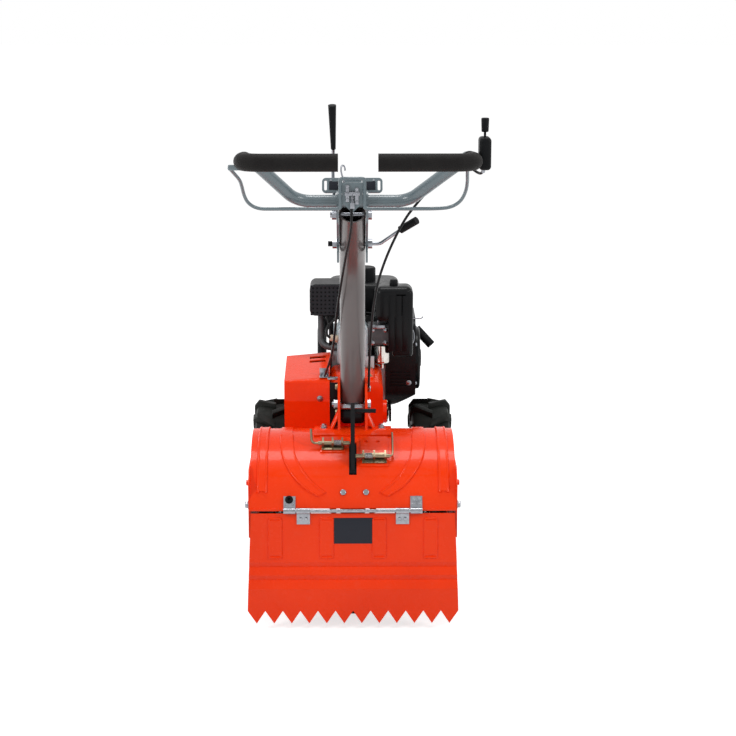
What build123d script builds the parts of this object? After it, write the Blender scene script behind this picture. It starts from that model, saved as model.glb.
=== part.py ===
"""Walk-behind rear tine tiller: two drive wheels, a hooded tine rotor behind them, one mast with a
tilting handlebar, and an open petrol engine in front.

Millimetres. +X is the machine's right as the operator stands at the grips, +Y is forward and +Z is up.
The origin is on the ground, below the middle of the machine's outline.
"""

from build123d import *
import math
import os

# Running fits and seats
SEAT_GAP = 0.3           # between pieces that rest on each other along a curved face
SHAFT_GAP = 0.5          # on the radius, between a turning shaft and its bore
BOLT_GAP = 0.3           # on the radius, between a bolt and its hole

# Wheels
AXLE_Y = 380             # wheel axle, ahead of the origin
TYRE_RADIUS = 202        # over the lugs, and so the height of the axle
TYRE_WIDTH = 112
WHEEL_X = 210            # middle of a tyre from the machine's centre plane
LUG_HEIGHT = 15
LUG_THICKNESS = 17
LUG_ANGLE = 38           # of a lug to the axle, seen from outside
LUG_COUNT = 13           # on each half of the tread
TYRE_FACETS = 3 * LUG_COUNT  # flat sides of the carcass
LUG_ROOT = 5             # how far a lug's foot reaches into the carcass
LUG_OVERLAP = 4          # of each half's lugs past the middle of the tread
TREAD_ROLL = 12          # bevel from the tread to the side wall
SIDE_INSET = 5           # of the side wall from the lugs' outer ends
LIP_ABOVE_FLANGE = 4
TYRE_WALL = 11
RIM_RADIUS = 101         # bead seat
RIM_WIDTH = 78
RIM_FLANGE = 11
RIM_SHEET = 3
HUB_RADIUS = 22
HUB_LENGTH = 96
AXLE_RADIUS = 12.5
AXLE_JOURNAL_RADIUS = 12  # turned end of the axle, outside the hub
AXLE_JOURNAL_X = 265
AXLE_END_X = 285
AXLE_CHAMFER = 1.5
AXLE_INNER_X = 24
AXLE_HOUSING_RADIUS = 27
AXLE_HOUSING_X = 142     # outer end of the axle housing

# Tine rotor
ROTOR_Y = -110
ROTOR_Z = 205
TINE_RADIUS = 165
TINE_THICKNESS = 6
TINE_WING = 34           # sideways reach of a tine's rolled end
TINE_BEND = 10           # inside radius of that roll
TINE_SWEEP = (30, 44)    # degrees from a tine's root to its end, at its leading and trailing edge
TINE_FOOT = 12           # of a tine on its flange
TINES_PER_FLANGE = 4
FLANGE_RADIUS = 46
FLANGE_THICKNESS = 6
ROTOR_SHAFT_RADIUS = 15
ROTOR_SHAFT_X = 222      # half length of the rotor's shaft
ROTOR_TUBE_WALL = 5
GANG_INNER_X = 36        # inner end of a tine gang
GANG_OUTER_X = 214
FLANGES_X = (44, 118, 192)

# Tine hood
HOOD_Z = 241             # centre of the hood's curve, above the rotor's shaft line
HOOD_RADIUS = 206
HOOD_SHEET = 2.5
HOOD_HALF_WIDTH = 243
HOOD_FRONT_ANGLE = 4     # from straight ahead, over the top, to the rear edge
HOOD_REAR_ANGLE = 160.4
HOOD_SKIRT_Z = 120       # lower edge of the end walls
HOOD_BAND_HEIGHT = 3
HOOD_BAND_WIDTH = 19
HOOD_BAND_X = 214.5
HOOD_ARCH_OUTER = ((173, 445), (151, 391), (82, 338))  # X and Z of the arched band's outer edge, from behind
HOOD_ARCH_INNER = ((146, 445), (124, 393), (66, 344))
SIDE_PLATE_SHEET = 3
SIDE_PLATE_Y = (-296, -150)
SIDE_PLATE_Z = (236, 398)
STAKE_SLOT_HALF = 9      # half width of the slot that the stake passes through
SLOT_MARGIN = 12         # from the stake to the slot's rear end
LATCH_PLATE_SHEET = 2.5
LATCH_HEIGHT = 12        # of a latch pin over the hood
LATCH_PIN_RADIUS = 5
LATCHES = ((-74, -22, -198), (22, 80, -236))  # X from, X to and Y of each latch

# Rear flap
HINGE_RISE = 7.8         # of the hinge line over the hood
HINGE_ANGLE = 162
HINGE_Y = ROTOR_Y + (HOOD_RADIUS + HINGE_RISE) * math.cos(math.radians(HINGE_ANGLE))
HINGE_Z = HOOD_Z + (HOOD_RADIUS + HINGE_RISE) * math.sin(math.radians(HINGE_ANGLE))
HINGE_ROD_RADIUS = 4
KNUCKLE_WALL = 3
FLAP_SHEET = 2.5
FLAP_TOP_Z = HINGE_Z - 8
FLAP_TOP_Y = HINGE_Y + 6  # outer face at the top edge
FLAP_TOP_HALF = 240
FLAP_BOTTOM_HALF = 251
FLAP_TIP_Z = 21
FLAP_TOOTH_HEIGHT = 34
FLAP_TEETH = 12
FLAP_RIBS = ((180, -5), (166, 2), (148, -6), (134, 1), (114, -7))  # height and depth of each fold
FLAP_PANEL_HEIGHT = 3
FLAP_PANEL_HALF = 14
FLAP_PANELS_X = (-183, -62, 62, 183)
HINGE_PLATE_X = (135, 163)
KNUCKLE_X = (101, 132)

# Gear case
CASE_X0, CASE_X1 = -58, 78
CASE_REAR_Y = 100
CASE_FRONT_Y = 300
CASE_BOTTOM_Z = TYRE_RADIUS + 196
CASE_TOP_Z = CASE_BOTTOM_Z + 122
ARM_HALF = 28            # half width of the chain case that carries the rotor
ARM_END_RADIUS = 52
ARM_ROOT_RADIUS = 82
ARM_ROOT_Y = 320
ARM_ROOT_Z = TYRE_RADIUS + 73
AXLE_CASE_HALF = 50
AXLE_CASE_RADIUS = 72

# Engine cradle and front guard
PLATE_Z = TYRE_RADIUS + 190  # underside of the engine plate
PLATE_THICKNESS = 6
PLATE_HALF = 104
PLATE_REAR_Y = 306
PLATE_FRONT_Y = 600
CRADLE_DEPTH = 60        # height of the front flange below the plate
SIDE_FLANGE = 30
GUARD_RADIUS = 13
GUARD_HALF = 85
GUARD_TOP_Z = PLATE_Z + 208
GUARD_FRONT_Y = 612
GUARD_FOOT_Y = 582
MOUNT_HOLE_RADIUS = 5.5
MOUNT_HOLE_X = 60
MOUNT_HOLE_Z = (PLATE_Z - 47, PLATE_Z - 17)

# Engine
CRANK_Z = PLATE_Z + 114
CRANKCASE = dict(x0=-54, x1=88, y0=312, y1=490, z1=PLATE_Z + 204)
HEAD = dict(x0=-40, x1=40, y0=226, y1=312, z0=PLATE_Z + 138, z1=PLATE_Z + 248)
FIN_COUNT = 6
FIN_THICKNESS = 4
BLOWER = dict(x0=88.3, x1=168, y0=300, y1=520, z0=PLATE_Z + 7, z1=PLATE_Z + 248)
STARTER_PLACE = (498, PLATE_Z + 185)  # Y and Z where the starter rope leaves the recoil cover
DRUM_RADIUS = 84         # recoil cover
DRUM_DEPTH = 14
DRUM_SLOTS = 10
LOUVRES = 5
LOUVRE_PITCH = 9
TANK = dict(x0=-64, x1=128, y0=404, y1=560, z0=PLATE_Z + 254, z1=PLATE_Z + 326)
CAP_RADIUS = 30
CAP_X = 34
CAP_TOP_Z = TANK["z1"] + 34
AIR_CLEANER = dict(x0=58, x1=158, y0=222, y1=299, z0=PLATE_Z + 164, z1=PLATE_Z + 350)
BOWL_PLACE = (78, 269)    # X and Y of the float bowl
AIR_CLEANER_NECK_X = 104  # left side of its lower part
AIR_CLEANER_STEP_Z = PLATE_Z + 256
MUFFLER = dict(x0=-112, x1=-8, y0=300, y1=395, z0=PLATE_Z + 260, z1=PLATE_Z + 344)
MUFFLER_SLOTS = 4
MUFFLER_SLOT_PITCH = 12

# Belt cover
COVER_X0, COVER_X1 = -174, CASE_X0 - SEAT_GAP
COVER_SHEET = 3
COVER_TAPER = 5
COVER_CORNER = 16

# Mast
MAST_RADIUS = 30
MAST_WALL = 3
MAST_FOOT = (-52, 500)   # Y and Z of the bolt at its foot
MAST_KNEE = (-178, 872)
MAST_HEAD = (-337, 1009)  # Y and Z of the handlebar's pivot bolt
MAST_KNEE_RADIUS = 200
MAST_CLAMP_Z = 929
BOLT_RADIUS = 6
EAR_THICKNESS = 6
EAR_RISE = 72            # of the ears over the mast's foot bolt
EAR_FOOT_HALF = 94

# Handlebar
BAR_RADIUS = 14
BAR_WALL = 2.5
BAR_CENTRE = (-360, 1043)
BAR_FLAT_X = 124         # where the middle stretch starts to rise
GRIP_RADIUS = 19
GRIP_INNER_X = 42
GRIP_OUTER_X = 249
GRIP_SHIFT = 12          # the grips sit this far to the right of the mast
GRIP_BEND = 42
GRIP_Y = -600
GRIP_Z = 1155
TILT_LIMIT = 12          # degrees each way, set by the clamp slot
HEAD_PLATE = 5
SHIFT_FOOT = (-39.8, -322, 1024)
SHIFT_KNEE = (-44, -288, 1098)
SHIFT_GRIP = ((-42, -351, 1158), (-44, -374, 1256))  # lower and upper end of the lever's grip
THROTTLE_SHARE = 0.66    # of the way from the grip's corner to the foot of its bend
THROTTLE_REACH = 45
THROTTLE_RISE = 48
BAIL_RADIUS = 4
BAIL_UPRIGHT_X = 27
BAIL_TOP_Z = 1097

# Depth stake
STAKE_HALF_THICKNESS = 5
STAKE_Y0, STAKE_Y1 = -250, -184
STAKE_HOLE_PITCH = 35
STAKE_HOLES = 5
STAKE_TOP_Z = 536
STAKE_FOOT_HEIGHT = 8


def block(x0, x1, y0, y1, z0, z1):
    """A box between three pairs of planes."""
    size = (x1 - x0, y1 - y0, z1 - z0)
    centre = ((x0 + x1) / 2, (y0 + y1) / 2, (z0 + z1) / 2)
    return Pos(*centre) * Box(*size)


def rounded_block(x0, x1, y0, y1, z0, z1, radius, axes=(Axis.Z,)):
    """A box whose edges along the given axes are rounded."""
    solid = block(x0, x1, y0, y1, z0, z1)
    for axis in axes:
        solid = fillet(solid.edges().filter_by(axis), radius)
    return solid


def rod_x(radius, x0, x1, y, z):
    """A cylinder along X."""
    return Pos((x0 + x1) / 2, y, z) * Rot(0, 90, 0) * Cylinder(radius, abs(x1 - x0))


def rod_z(radius, z0, z1, x, y):
    """A cylinder along Z."""
    return Pos(x, y, (z0 + z1) / 2) * Cylinder(radius, z1 - z0)


def side_prism(face, x0, x1):
    """A side-view sketch, drawn with Y to the right and Z up, made solid from x0 to x1."""
    return extrude(Plane.YZ.offset(x0) * face, x1 - x0)


def ring_sector(inner, outer, start, end):
    """A flat ring sector; angles in degrees from straight ahead over the top."""
    outside = CenterArc((0, 0), outer, start, end - start)
    inside = CenterArc((0, 0), inner, end, start - end)
    return make_face([outside, Line(outside @ 1, inside @ 0), inside, Line(inside @ 1, outside @ 0)])


def hood_prism(inner, outer, start, end, x0, x1):
    """A curved plate that follows the tine hood."""
    return side_prism(Pos(ROTOR_Y, HOOD_Z) * ring_sector(inner, outer, start, end), x0, x1)


def hood_core(radius):
    """The space inside the hood's curve, out to a radius, across the whole machine."""
    return rod_x(radius, -2 * HOOD_HALF_WIDTH, 2 * HOOD_HALF_WIDTH, ROTOR_Y, HOOD_Z)


def bent_tube(points, radius, bends=None, wall=None):
    """A tube, or a rod where no wall is given, along straight runs joined by arcs."""
    path = FilletPolyline(*points, radius=bends) if len(points) > 2 else Line(*points)
    start = Plane(origin=path @ 0, z_dir=path % 0)
    section = Circle(radius) if wall is None else Circle(radius) - Circle(radius - wall)
    return sweep(start * section, path=path)


def mirrored(solid):
    """The same piece on the machine's other side."""
    return mirror(solid, Plane.YZ)


def polar(radius, degrees, centre=(0, 0)):
    """A point at a radius and an angle."""
    angle = math.radians(degrees)
    return (centre[0] + radius * math.cos(angle), centre[1] + radius * math.sin(angle))


# Wheels

def tyre_stations():
    """The right half of the tyre's outer section, from tread to bead, as (X, radius) pairs."""
    half = TYRE_WIDTH / 2
    crown = TYRE_RADIUS - LUG_HEIGHT
    lip = RIM_RADIUS + RIM_FLANGE + LIP_ABOVE_FLANGE
    return [(half - TREAD_ROLL, crown), (half - SIDE_INSET - 1, crown - TREAD_ROLL),
            (half - SIDE_INSET, (lip + crown) / 2), (RIM_WIDTH / 2 - 1, lip)]


def tyre_lug():
    """One tread bar at the top of the tyre, leaning to the right, with flat faces down to the shoulder."""
    half = TYRE_WIDTH / 2
    crown = TYRE_RADIUS - LUG_HEIGHT
    lean = math.radians(LUG_ANGLE)
    corner = (half / 2 + LUG_OVERLAP) * math.tan(lean) + LUG_THICKNESS / 2 / math.cos(lean)
    top = math.sqrt(TYRE_RADIUS ** 2 - corner ** 2)
    root = crown - LUG_ROOT
    shoulder = (crown + RIM_RADIUS + RIM_FLANGE) / 2
    section = Polyline((-LUG_OVERLAP, root), (-LUG_OVERLAP, top), (half - TREAD_ROLL, top),
                       (half, crown - SIDE_INSET), (half, shoulder), (half - SIDE_INSET - LUG_ROOT, shoulder),
                       (half - TREAD_ROLL - LUG_ROOT, root), (-LUG_OVERLAP, root))
    across = extrude(Plane.XY * make_face(section), TYRE_RADIUS, both=True)
    across = Rot(90, 0, 0) * across
    slab = Box(4 * half, LUG_THICKNESS, 4 * TYRE_RADIUS)
    middle = half / 2
    return across & (Pos(middle, 0, 0) * Rot(0, 0, LUG_ANGLE) * slab)


def tyre():
    """A tractor-tread tyre about the X axis, hollow, with leaning lugs on both halves of its tread."""
    right = tyre_stations()
    stations = [(-x, r) for x, r in reversed(right)] + right
    sections = [Plane.YZ.offset(x) * RegularPolygon(r, TYRE_FACETS) for x, r in stations]
    carcass = loft(sections, ruled=True)
    carcass -= rod_x(RIM_RADIUS + SEAT_GAP, -TYRE_WIDTH, TYRE_WIDTH, 0, 0)
    hollow_half = RIM_WIDTH / 2 - TYRE_WALL / 2
    hollow_top = right[0][1] - TYRE_WALL
    hollow_floor = right[-1][1] + TYRE_WALL / 2
    hollow = RegularPolygon(hollow_top, TYRE_FACETS) - RegularPolygon(hollow_floor, TYRE_FACETS)
    carcass -= side_prism(hollow, -hollow_half, hollow_half)
    lug = tyre_lug()
    other = mirror(lug, Plane.YZ)
    pitch = 360 / LUG_COUNT
    lugs = [Rot(i * pitch, 0, 0) * lug for i in range(LUG_COUNT)]
    lugs += [Rot((i + 0.5) * pitch, 0, 0) * other for i in range(LUG_COUNT)]
    return carcass + lugs


def rim():
    """A drop-centre wheel about the X axis: barrel, disc and a hub tube bored for the axle."""
    half = RIM_WIDTH / 2
    well = RIM_RADIUS - 16
    barrel = Polyline((-half - RIM_SHEET, RIM_RADIUS + RIM_FLANGE), (-half, RIM_RADIUS + RIM_FLANGE),
                      (-half, RIM_RADIUS), (-half + 14, RIM_RADIUS), (-16, well), (16, well),
                      (half - 14, RIM_RADIUS), (half, RIM_RADIUS), (half, RIM_RADIUS + RIM_FLANGE),
                      (half + RIM_SHEET, RIM_RADIUS + RIM_FLANGE), (half + RIM_SHEET, RIM_RADIUS - RIM_SHEET),
                      (half - 12, RIM_RADIUS - RIM_SHEET), (18, well - RIM_SHEET), (-18, well - RIM_SHEET),
                      (-half + 12, RIM_RADIUS - RIM_SHEET), (-half - RIM_SHEET, RIM_RADIUS - RIM_SHEET),
                      (-half - RIM_SHEET, RIM_RADIUS + RIM_FLANGE))
    wheel = revolve(make_face(barrel), Axis.X)
    disc_x = 12
    disc = rod_x(well - 1, disc_x, disc_x + 4, 0, 0)
    hole_circle = (well + HUB_RADIUS) / 2
    for i in range(4):
        y, z = polar(hole_circle, 45 + 90 * i)
        disc -= rod_x(11, disc_x - 5, disc_x + 10, y, z)
    hub = rod_x(HUB_RADIUS, 50 - HUB_LENGTH, 50, 0, 0)
    return wheel + disc + hub - rod_x(AXLE_RADIUS + 0.15, -HUB_LENGTH, HUB_LENGTH, 0, 0)


def wheel_parts():
    """Both wheels, each with its tyre, its wheel and the axle shaft that turns with it."""
    parts = {}
    right_tyre, right_rim = tyre(), rim()
    right_axle = rod_x(AXLE_RADIUS, AXLE_INNER_X, AXLE_JOURNAL_X, AXLE_Y, TYRE_RADIUS)
    right_axle += rod_x(AXLE_JOURNAL_RADIUS, AXLE_JOURNAL_X, AXLE_END_X, AXLE_Y, TYRE_RADIUS)
    right_axle = chamfer(right_axle.edges().group_by(Axis.X)[-1], AXLE_CHAMFER)
    seat = Pos(WHEEL_X, AXLE_Y, TYRE_RADIUS)
    for side, turn in (("right", lambda s: s), ("left", mirrored)):
        parts["tyre_" + side] = turn(seat * right_tyre)
        parts["rim_" + side] = turn(seat * right_rim)
        parts["axle_" + side] = turn(right_axle)
    return parts


# Tine rotor

def tine(bend):
    """One sickle tine in the plane across the shaft, its end rolled to the side given by bend, 1 or -1."""
    root = FLANGE_RADIUS - TINE_FOOT
    near, far = FLANGE_THICKNESS / 2, FLANGE_THICKNESS / 2 + TINE_THICKNESS
    roll = TINE_RADIUS - TINE_THICKNESS - TINE_BEND
    lead_angle, trail_angle = TINE_SWEEP
    lead = ThreePointArc(polar(root, -22), polar(0.63 * TINE_RADIUS, 2), polar(roll + 2, lead_angle))
    trail = ThreePointArc(polar(roll + 2, trail_angle), polar(0.55 * TINE_RADIUS, 22), polar(root, 26))
    blade = make_face([lead, Line(lead @ 1, trail @ 0), trail, Line(trail @ 1, lead @ 0)])
    solid = side_prism(blade, near, far)
    centre = (far + TINE_BEND, roll)
    outer = CenterArc(centre, TINE_BEND + TINE_THICKNESS, 180, -90)
    inner = CenterArc(centre, TINE_BEND, 90, 90)
    reach = near + TINE_WING
    rolled = make_face([Line((near, roll - 8), outer @ 0), outer, Line(outer @ 1, (reach, TINE_RADIUS)),
                        Line((reach, TINE_RADIUS), (reach, TINE_RADIUS - TINE_THICKNESS)),
                        Line((reach, TINE_RADIUS - TINE_THICKNESS), inner @ 0), inner,
                        Line(inner @ 1, (far, roll - 8)), Line((far, roll - 8), (near, roll - 8))])
    solid += Rot(lead_angle, 0, 0) * revolve(rolled, Axis.X, trail_angle - lead_angle)
    return solid if bend > 0 else mirror(solid, Plane.YZ)


def tine_gang():
    """The right gang: a tube with three flanges and four tines on each, about the X axis."""
    tube = rod_x(ROTOR_SHAFT_RADIUS + ROTOR_TUBE_WALL, GANG_INNER_X, GANG_OUTER_X, 0, 0)
    pieces = []
    for row, x in enumerate(FLANGES_X):
        pieces.append(rod_x(FLANGE_RADIUS, x - FLANGE_THICKNESS / 2, x + FLANGE_THICKNESS / 2, 0, 0))
        for i in range(TINES_PER_FLANGE):
            inward = row == len(FLANGES_X) - 1 or (row == 1 and i % 2 == 0)
            blade = tine(-1 if inward else 1)
            pieces.append(Pos(x, 0, 0) * Rot(360 / TINES_PER_FLANGE * i + 30 * row, 0, 0) * blade)
    gang = tube + pieces
    return gang - rod_x(ROTOR_SHAFT_RADIUS + BOLT_GAP, 0, GANG_OUTER_X + 10, 0, 0)


def rotor_parts():
    """The rotor's shaft and its two gangs."""
    right = Pos(0, ROTOR_Y, ROTOR_Z) * tine_gang()
    shaft = rod_x(ROTOR_SHAFT_RADIUS, -ROTOR_SHAFT_X, ROTOR_SHAFT_X, ROTOR_Y, ROTOR_Z)
    return {"tine_shaft": chamfer(shaft.edges().filter_by(GeomType.CIRCLE), 2),
            "tine_gang_right": right, "tine_gang_left": mirrored(right)}


# Hood, stake guide and latches

def arched_band(sign):
    """A raised band on the hood that runs straight over the top and curves inward down the back."""
    inner = HOOD_RADIUS - HOOD_SHEET
    outer_edge = ThreePointArc(*[(sign * x, z) for x, z in HOOD_ARCH_OUTER])
    inner_edge = ThreePointArc(*[(sign * x, z) for x, z in HOOD_ARCH_INNER])
    outline = make_face([outer_edge, inner_edge, Line(outer_edge @ 0, inner_edge @ 0),
                         Line(outer_edge @ 1, inner_edge @ 1)])
    column = extrude(Plane.XZ.offset(-ROTOR_Y) * outline, 2 * HOOD_RADIUS)
    top_angle = math.degrees(math.asin((HOOD_ARCH_OUTER[0][1] - HOOD_Z) / (HOOD_RADIUS + HOOD_BAND_HEIGHT)))
    x0, x1 = sorted((sign * HOOD_ARCH_INNER[0][0], sign * HOOD_ARCH_OUTER[0][0]))
    shell = hood_prism(inner, HOOD_RADIUS + HOOD_BAND_HEIGHT, 90, HOOD_REAR_ANGLE,
                       -HOOD_HALF_WIDTH, HOOD_HALF_WIDTH)
    straight = hood_prism(inner, HOOD_RADIUS + HOOD_BAND_HEIGHT, 30, 180 - top_angle, x0, x1)
    return (column & shell) + straight


def tine_hood():
    """The pressed hood with its end walls, raised bands, stake slot and the notch round the chain case."""
    width = HOOD_HALF_WIDTH
    inner = HOOD_RADIUS - HOOD_SHEET
    hood = hood_prism(inner, HOOD_RADIUS, HOOD_FRONT_ANGLE, HOOD_REAR_ANGLE, -width, width)
    end_wall = Circle(HOOD_RADIUS) & (Pos(12, HOOD_RADIUS - (HOOD_Z - HOOD_SKIRT_Z))
                                      * Rectangle(2 * HOOD_RADIUS - 20, 2 * HOOD_RADIUS))
    end_wall = Pos(ROTOR_Y, HOOD_Z) * end_wall
    hood += side_prism(end_wall, width - HOOD_SHEET, width)
    hood += side_prism(end_wall, -width, -width + HOOD_SHEET)
    band = HOOD_RADIUS + HOOD_BAND_HEIGHT
    for x in (-HOOD_BAND_X, HOOD_BAND_X):
        hood += hood_prism(inner, band, 12, 149, x - HOOD_BAND_WIDTH / 2, x + HOOD_BAND_WIDTH / 2)
    for sign in (-1, 1):
        hood += arched_band(sign)
    top = HOOD_Z + HOOD_RADIUS + 2 * HOOD_BAND_HEIGHT
    slot = block(-STAKE_SLOT_HALF, STAKE_SLOT_HALF, STAKE_Y0 - SLOT_MARGIN, STAKE_Y1 + 8, HOOD_Z, top)
    notch = block(-ARM_HALF - 3, ARM_HALF + 3, ROTOR_Y + HOOD_RADIUS / 2, CASE_REAR_Y, 0, 330)
    return hood - slot - notch


def hood_side_plates():
    """The two side plates bolted outside the hood's end walls."""
    y0, y1 = SIDE_PLATE_Y
    z0, z1 = SIDE_PLATE_Z
    outline = Polyline((y0, z0), (y0, z1 - 30), (y0 + 40, z1), (y1, z1), (y1 + 30, z1 - 40), (y1 + 30, z0 + 30),
                       (y1, z0), (y0, z0))
    x = HOOD_HALF_WIDTH + SEAT_GAP / 2
    right = side_prism(make_face(outline), x, x + SIDE_PLATE_SHEET)
    bolt_y = y0 + 18
    for z in (z0 + 76, z0 + 130):
        right += Pos(x + SIDE_PLATE_SHEET, bolt_y, z) * Rot(0, 90, 0) * extrude(RegularPolygon(7, 6), 5)
    return Compound(children=[right, mirrored(right)])


def latch_pin(y):
    """Z of a latch pin from its Y, at its height over the hood."""
    return HOOD_Z + math.sqrt((HOOD_RADIUS + LATCH_HEIGHT) ** 2 - (y - ROTOR_Y) ** 2)


def latch_plates():
    """The two plates under the latches, curved to the hood; the right one has two round holes."""
    seat = HOOD_RADIUS + SEAT_GAP / 2
    outer = seat + LATCH_PLATE_SHEET
    left = hood_prism(seat, outer, 102, 119.5, -78, -18)
    right = hood_prism(seat, outer, 102, 131.5, 18, 84)
    for x in (31, 60):
        right -= Pos(x, ROTOR_Y, HOOD_Z) * Rot(19, 0, 0) * Pos(0, 0, HOOD_RADIUS) * Cylinder(5, 30)
    return Compound(children=[left, right])


def stake_guide():
    """The sleeve under the hood that guides the stake, with its top cut to the hood's curve."""
    wall, gap = 4, 0.8
    x = STAKE_HALF_THICKNESS + gap
    y0, y1 = STAKE_Y0 - gap, STAKE_Y1 + gap
    floor, top = HOOD_Z + 69, HOOD_Z + HOOD_RADIUS
    sleeve = block(-x - wall, x + wall, y0 - wall, y1 + wall, floor, top)
    sleeve -= block(-x, x, y0, y1, floor - 10, top + 10)
    return sleeve & hood_core(HOOD_RADIUS - HOOD_SHEET - SEAT_GAP)


def latch(x0, x1, y):
    """A spring latch beside the stake: a curved foot on its plate, two lugs and the spring's barrel."""
    z = latch_pin(y)
    angle = math.degrees(math.atan2(z - HOOD_Z, y - ROTOR_Y))
    seat = HOOD_RADIUS + LATCH_PLATE_SHEET + SEAT_GAP
    foot = hood_prism(seat, seat + 3, angle - 4.2, angle + 4.2, x0, x1)
    lug_profile = Pos(ROTOR_Y, HOOD_Z) * ring_sector(seat + 1, seat + 19, angle - 2.6, angle + 2.6)
    bracket = foot
    middle = (x0 + x1) / 2
    for x in (x0 + 3, middle, x1 - 3):
        bracket += side_prism(lug_profile, x - 2, x + 2)
    return bracket - rod_x(LATCH_PIN_RADIUS + BOLT_GAP, x0 - 5, x1 + 5, y, z)


def latch_plungers():
    """The two spring pins that lock the stake; the left one is pulled by a rod bent up and across."""
    pins = []
    for x0, x1, y in LATCHES:
        z = latch_pin(y)
        outward = -1 if x0 < 0 else 1
        tip = outward * (STAKE_HALF_THICKNESS + 2)
        far = x0 if outward < 0 else x1
        pin = rod_x(LATCH_PIN_RADIUS, *sorted((tip, far + outward * 8)), y, z)
        if outward < 0:
            pull = [(far - 6, y, z), (far - 24, y, z), (far - 26, y + 6, z + 34)]
            pin += bent_tube(pull, 3, 9)
        pins.append(pin)
    return Compound(children=pins)


def depth_stake():
    """The flat stake with two rows of latch holes, its foot turned forward and the bent rod at its top."""
    half = STAKE_HALF_THICKNESS
    toe, heel = STAKE_Y1 + 24, STAKE_Y1 + 8
    thick = STAKE_FOOT_HEIGHT
    profile = make_face(Polyline((STAKE_Y0, 90), (STAKE_Y0, STAKE_TOP_Z), (STAKE_Y1, STAKE_TOP_Z), (STAKE_Y1, 40),
                                 (toe, thick / 2), (heel, thick / 2), (STAKE_Y0, 90)))
    stake = side_prism(profile, -half, half)
    for x0, x1, y in LATCHES:
        z = latch_pin(y)
        for i in range(STAKE_HOLES):
            stake -= rod_x(LATCH_PIN_RADIUS + 1, -half - 5, half + 5, y, z - STAKE_HOLE_PITCH * i)
    foot_profile = make_face(Polyline((heel, 0), (heel, thick), (toe + 16, thick), (toe + 28, 2 * thick + 2),
                                      (toe + 32, 2 * thick - 2), (toe + 20, 0), (heel, 0)))
    foot = side_prism(foot_profile, -18, 18)
    handle = rod_x(5, half - 1, 55, STAKE_Y0 + 20, STAKE_TOP_Z - 8)
    return stake + foot + handle


# Flap and its hinge

def flap_profile():
    """The flap's side view: a flat upper part, two rolled ribs and a lower band that turns inward."""
    stations = [(FLAP_TOP_Z, 0), (FLAP_RIBS[0][0] + 8, -5), *FLAP_RIBS, (FLAP_TIP_Z + FLAP_TOOTH_HEIGHT, 5),
                (FLAP_TIP_Z - 1, 11)]
    outer = [(FLAP_TOP_Y + y, z) for z, y in stations]
    inner = [(y + FLAP_SHEET, z) for y, z in outer]
    return make_face(Polyline(*outer, *reversed(inner), outer[0]))


def flap_outline():
    """The flap seen from behind: a slightly flared sheet with a row of pointed teeth."""
    root = FLAP_TIP_Z + FLAP_TOOTH_HEIGHT
    pitch = 2 * FLAP_BOTTOM_HALF / FLAP_TEETH
    points = [(-FLAP_TOP_HALF, FLAP_TOP_Z + 1), (-FLAP_BOTTOM_HALF, root)]
    for i in range(FLAP_TEETH):
        x = -FLAP_BOTTOM_HALF + pitch * i
        points += [(x + pitch / 2, FLAP_TIP_Z), (x + pitch, root)]
    points += [(FLAP_TOP_HALF, FLAP_TOP_Z + 1), points[0]]
    return make_face(Polyline(*points))


def rear_flap():
    """The toothed flap with four raised vertical panels."""
    flap = side_prism(flap_profile(), -FLAP_BOTTOM_HALF - 5, FLAP_BOTTOM_HALF + 5)
    flap &= extrude(Plane.XZ.offset(HINGE_Y * -1 - 40) * flap_outline(), 80)
    top, foot = FLAP_TOP_Z - 13, FLAP_RIBS[0][0] + 12
    height = FLAP_PANEL_HEIGHT
    panel_profile = make_face(Polyline((FLAP_TOP_Y - 0.2, top), (FLAP_TOP_Y - 1 - height, top - 4),
                                       (FLAP_TOP_Y - 5 - height, foot + 8), (FLAP_TOP_Y - 4.4, foot),
                                       (FLAP_TOP_Y - 2, foot + 8), (FLAP_TOP_Y + 1, top),
                                       (FLAP_TOP_Y - 0.2, top)))
    for x in FLAP_PANELS_X:
        flap += side_prism(panel_profile, x - FLAP_PANEL_HALF, x + FLAP_PANEL_HALF)
    return flap


def flap_knuckles():
    """The two zinc straps on the flap, each curled round the hinge rod."""
    bore = HINGE_ROD_RADIUS + 0.4
    outer = bore + KNUCKLE_WALL
    curl = Pos(HINGE_Y, HINGE_Z) * (Circle(outer) - Circle(bore))
    strap_y = FLAP_TOP_Y - SEAT_GAP
    top, end = FLAP_TOP_Z, FLAP_TOP_Z - 25
    strap = make_face(Polyline((strap_y, top), (strap_y - 1.2, end), (strap_y - 4.2, end),
                               (strap_y - 3, top + 4), (strap_y - 0.5, top + 4), (strap_y, top)))
    profile = (curl + strap) - Pos(HINGE_Y, HINGE_Z) * Circle(bore)
    right = side_prism(profile, *KNUCKLE_X)
    return Compound(children=[right, mirrored(right)])


def flap_hinge():
    """The hinge rod and the two zinc plates that carry it on the hood's rear edge."""
    sleeve = HINGE_ROD_RADIUS + 0.4 + KNUCKLE_WALL
    x0, x1 = HINGE_PLATE_X
    seat = HOOD_RADIUS + SEAT_GAP
    plate = hood_prism(seat, seat + 2.5, HOOD_REAR_ANGLE - 8, HOOD_REAR_ANGLE + 1.2, x0, x1)
    carrier = plate + rod_x(sleeve, x0, x1, HINGE_Y, HINGE_Z)
    rod = rod_x(HINGE_ROD_RADIUS, -x1 + 4, x1 - 4, HINGE_Y, HINGE_Z)
    return rod + carrier + mirrored(carrier)


# Gear case and cradle

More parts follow.
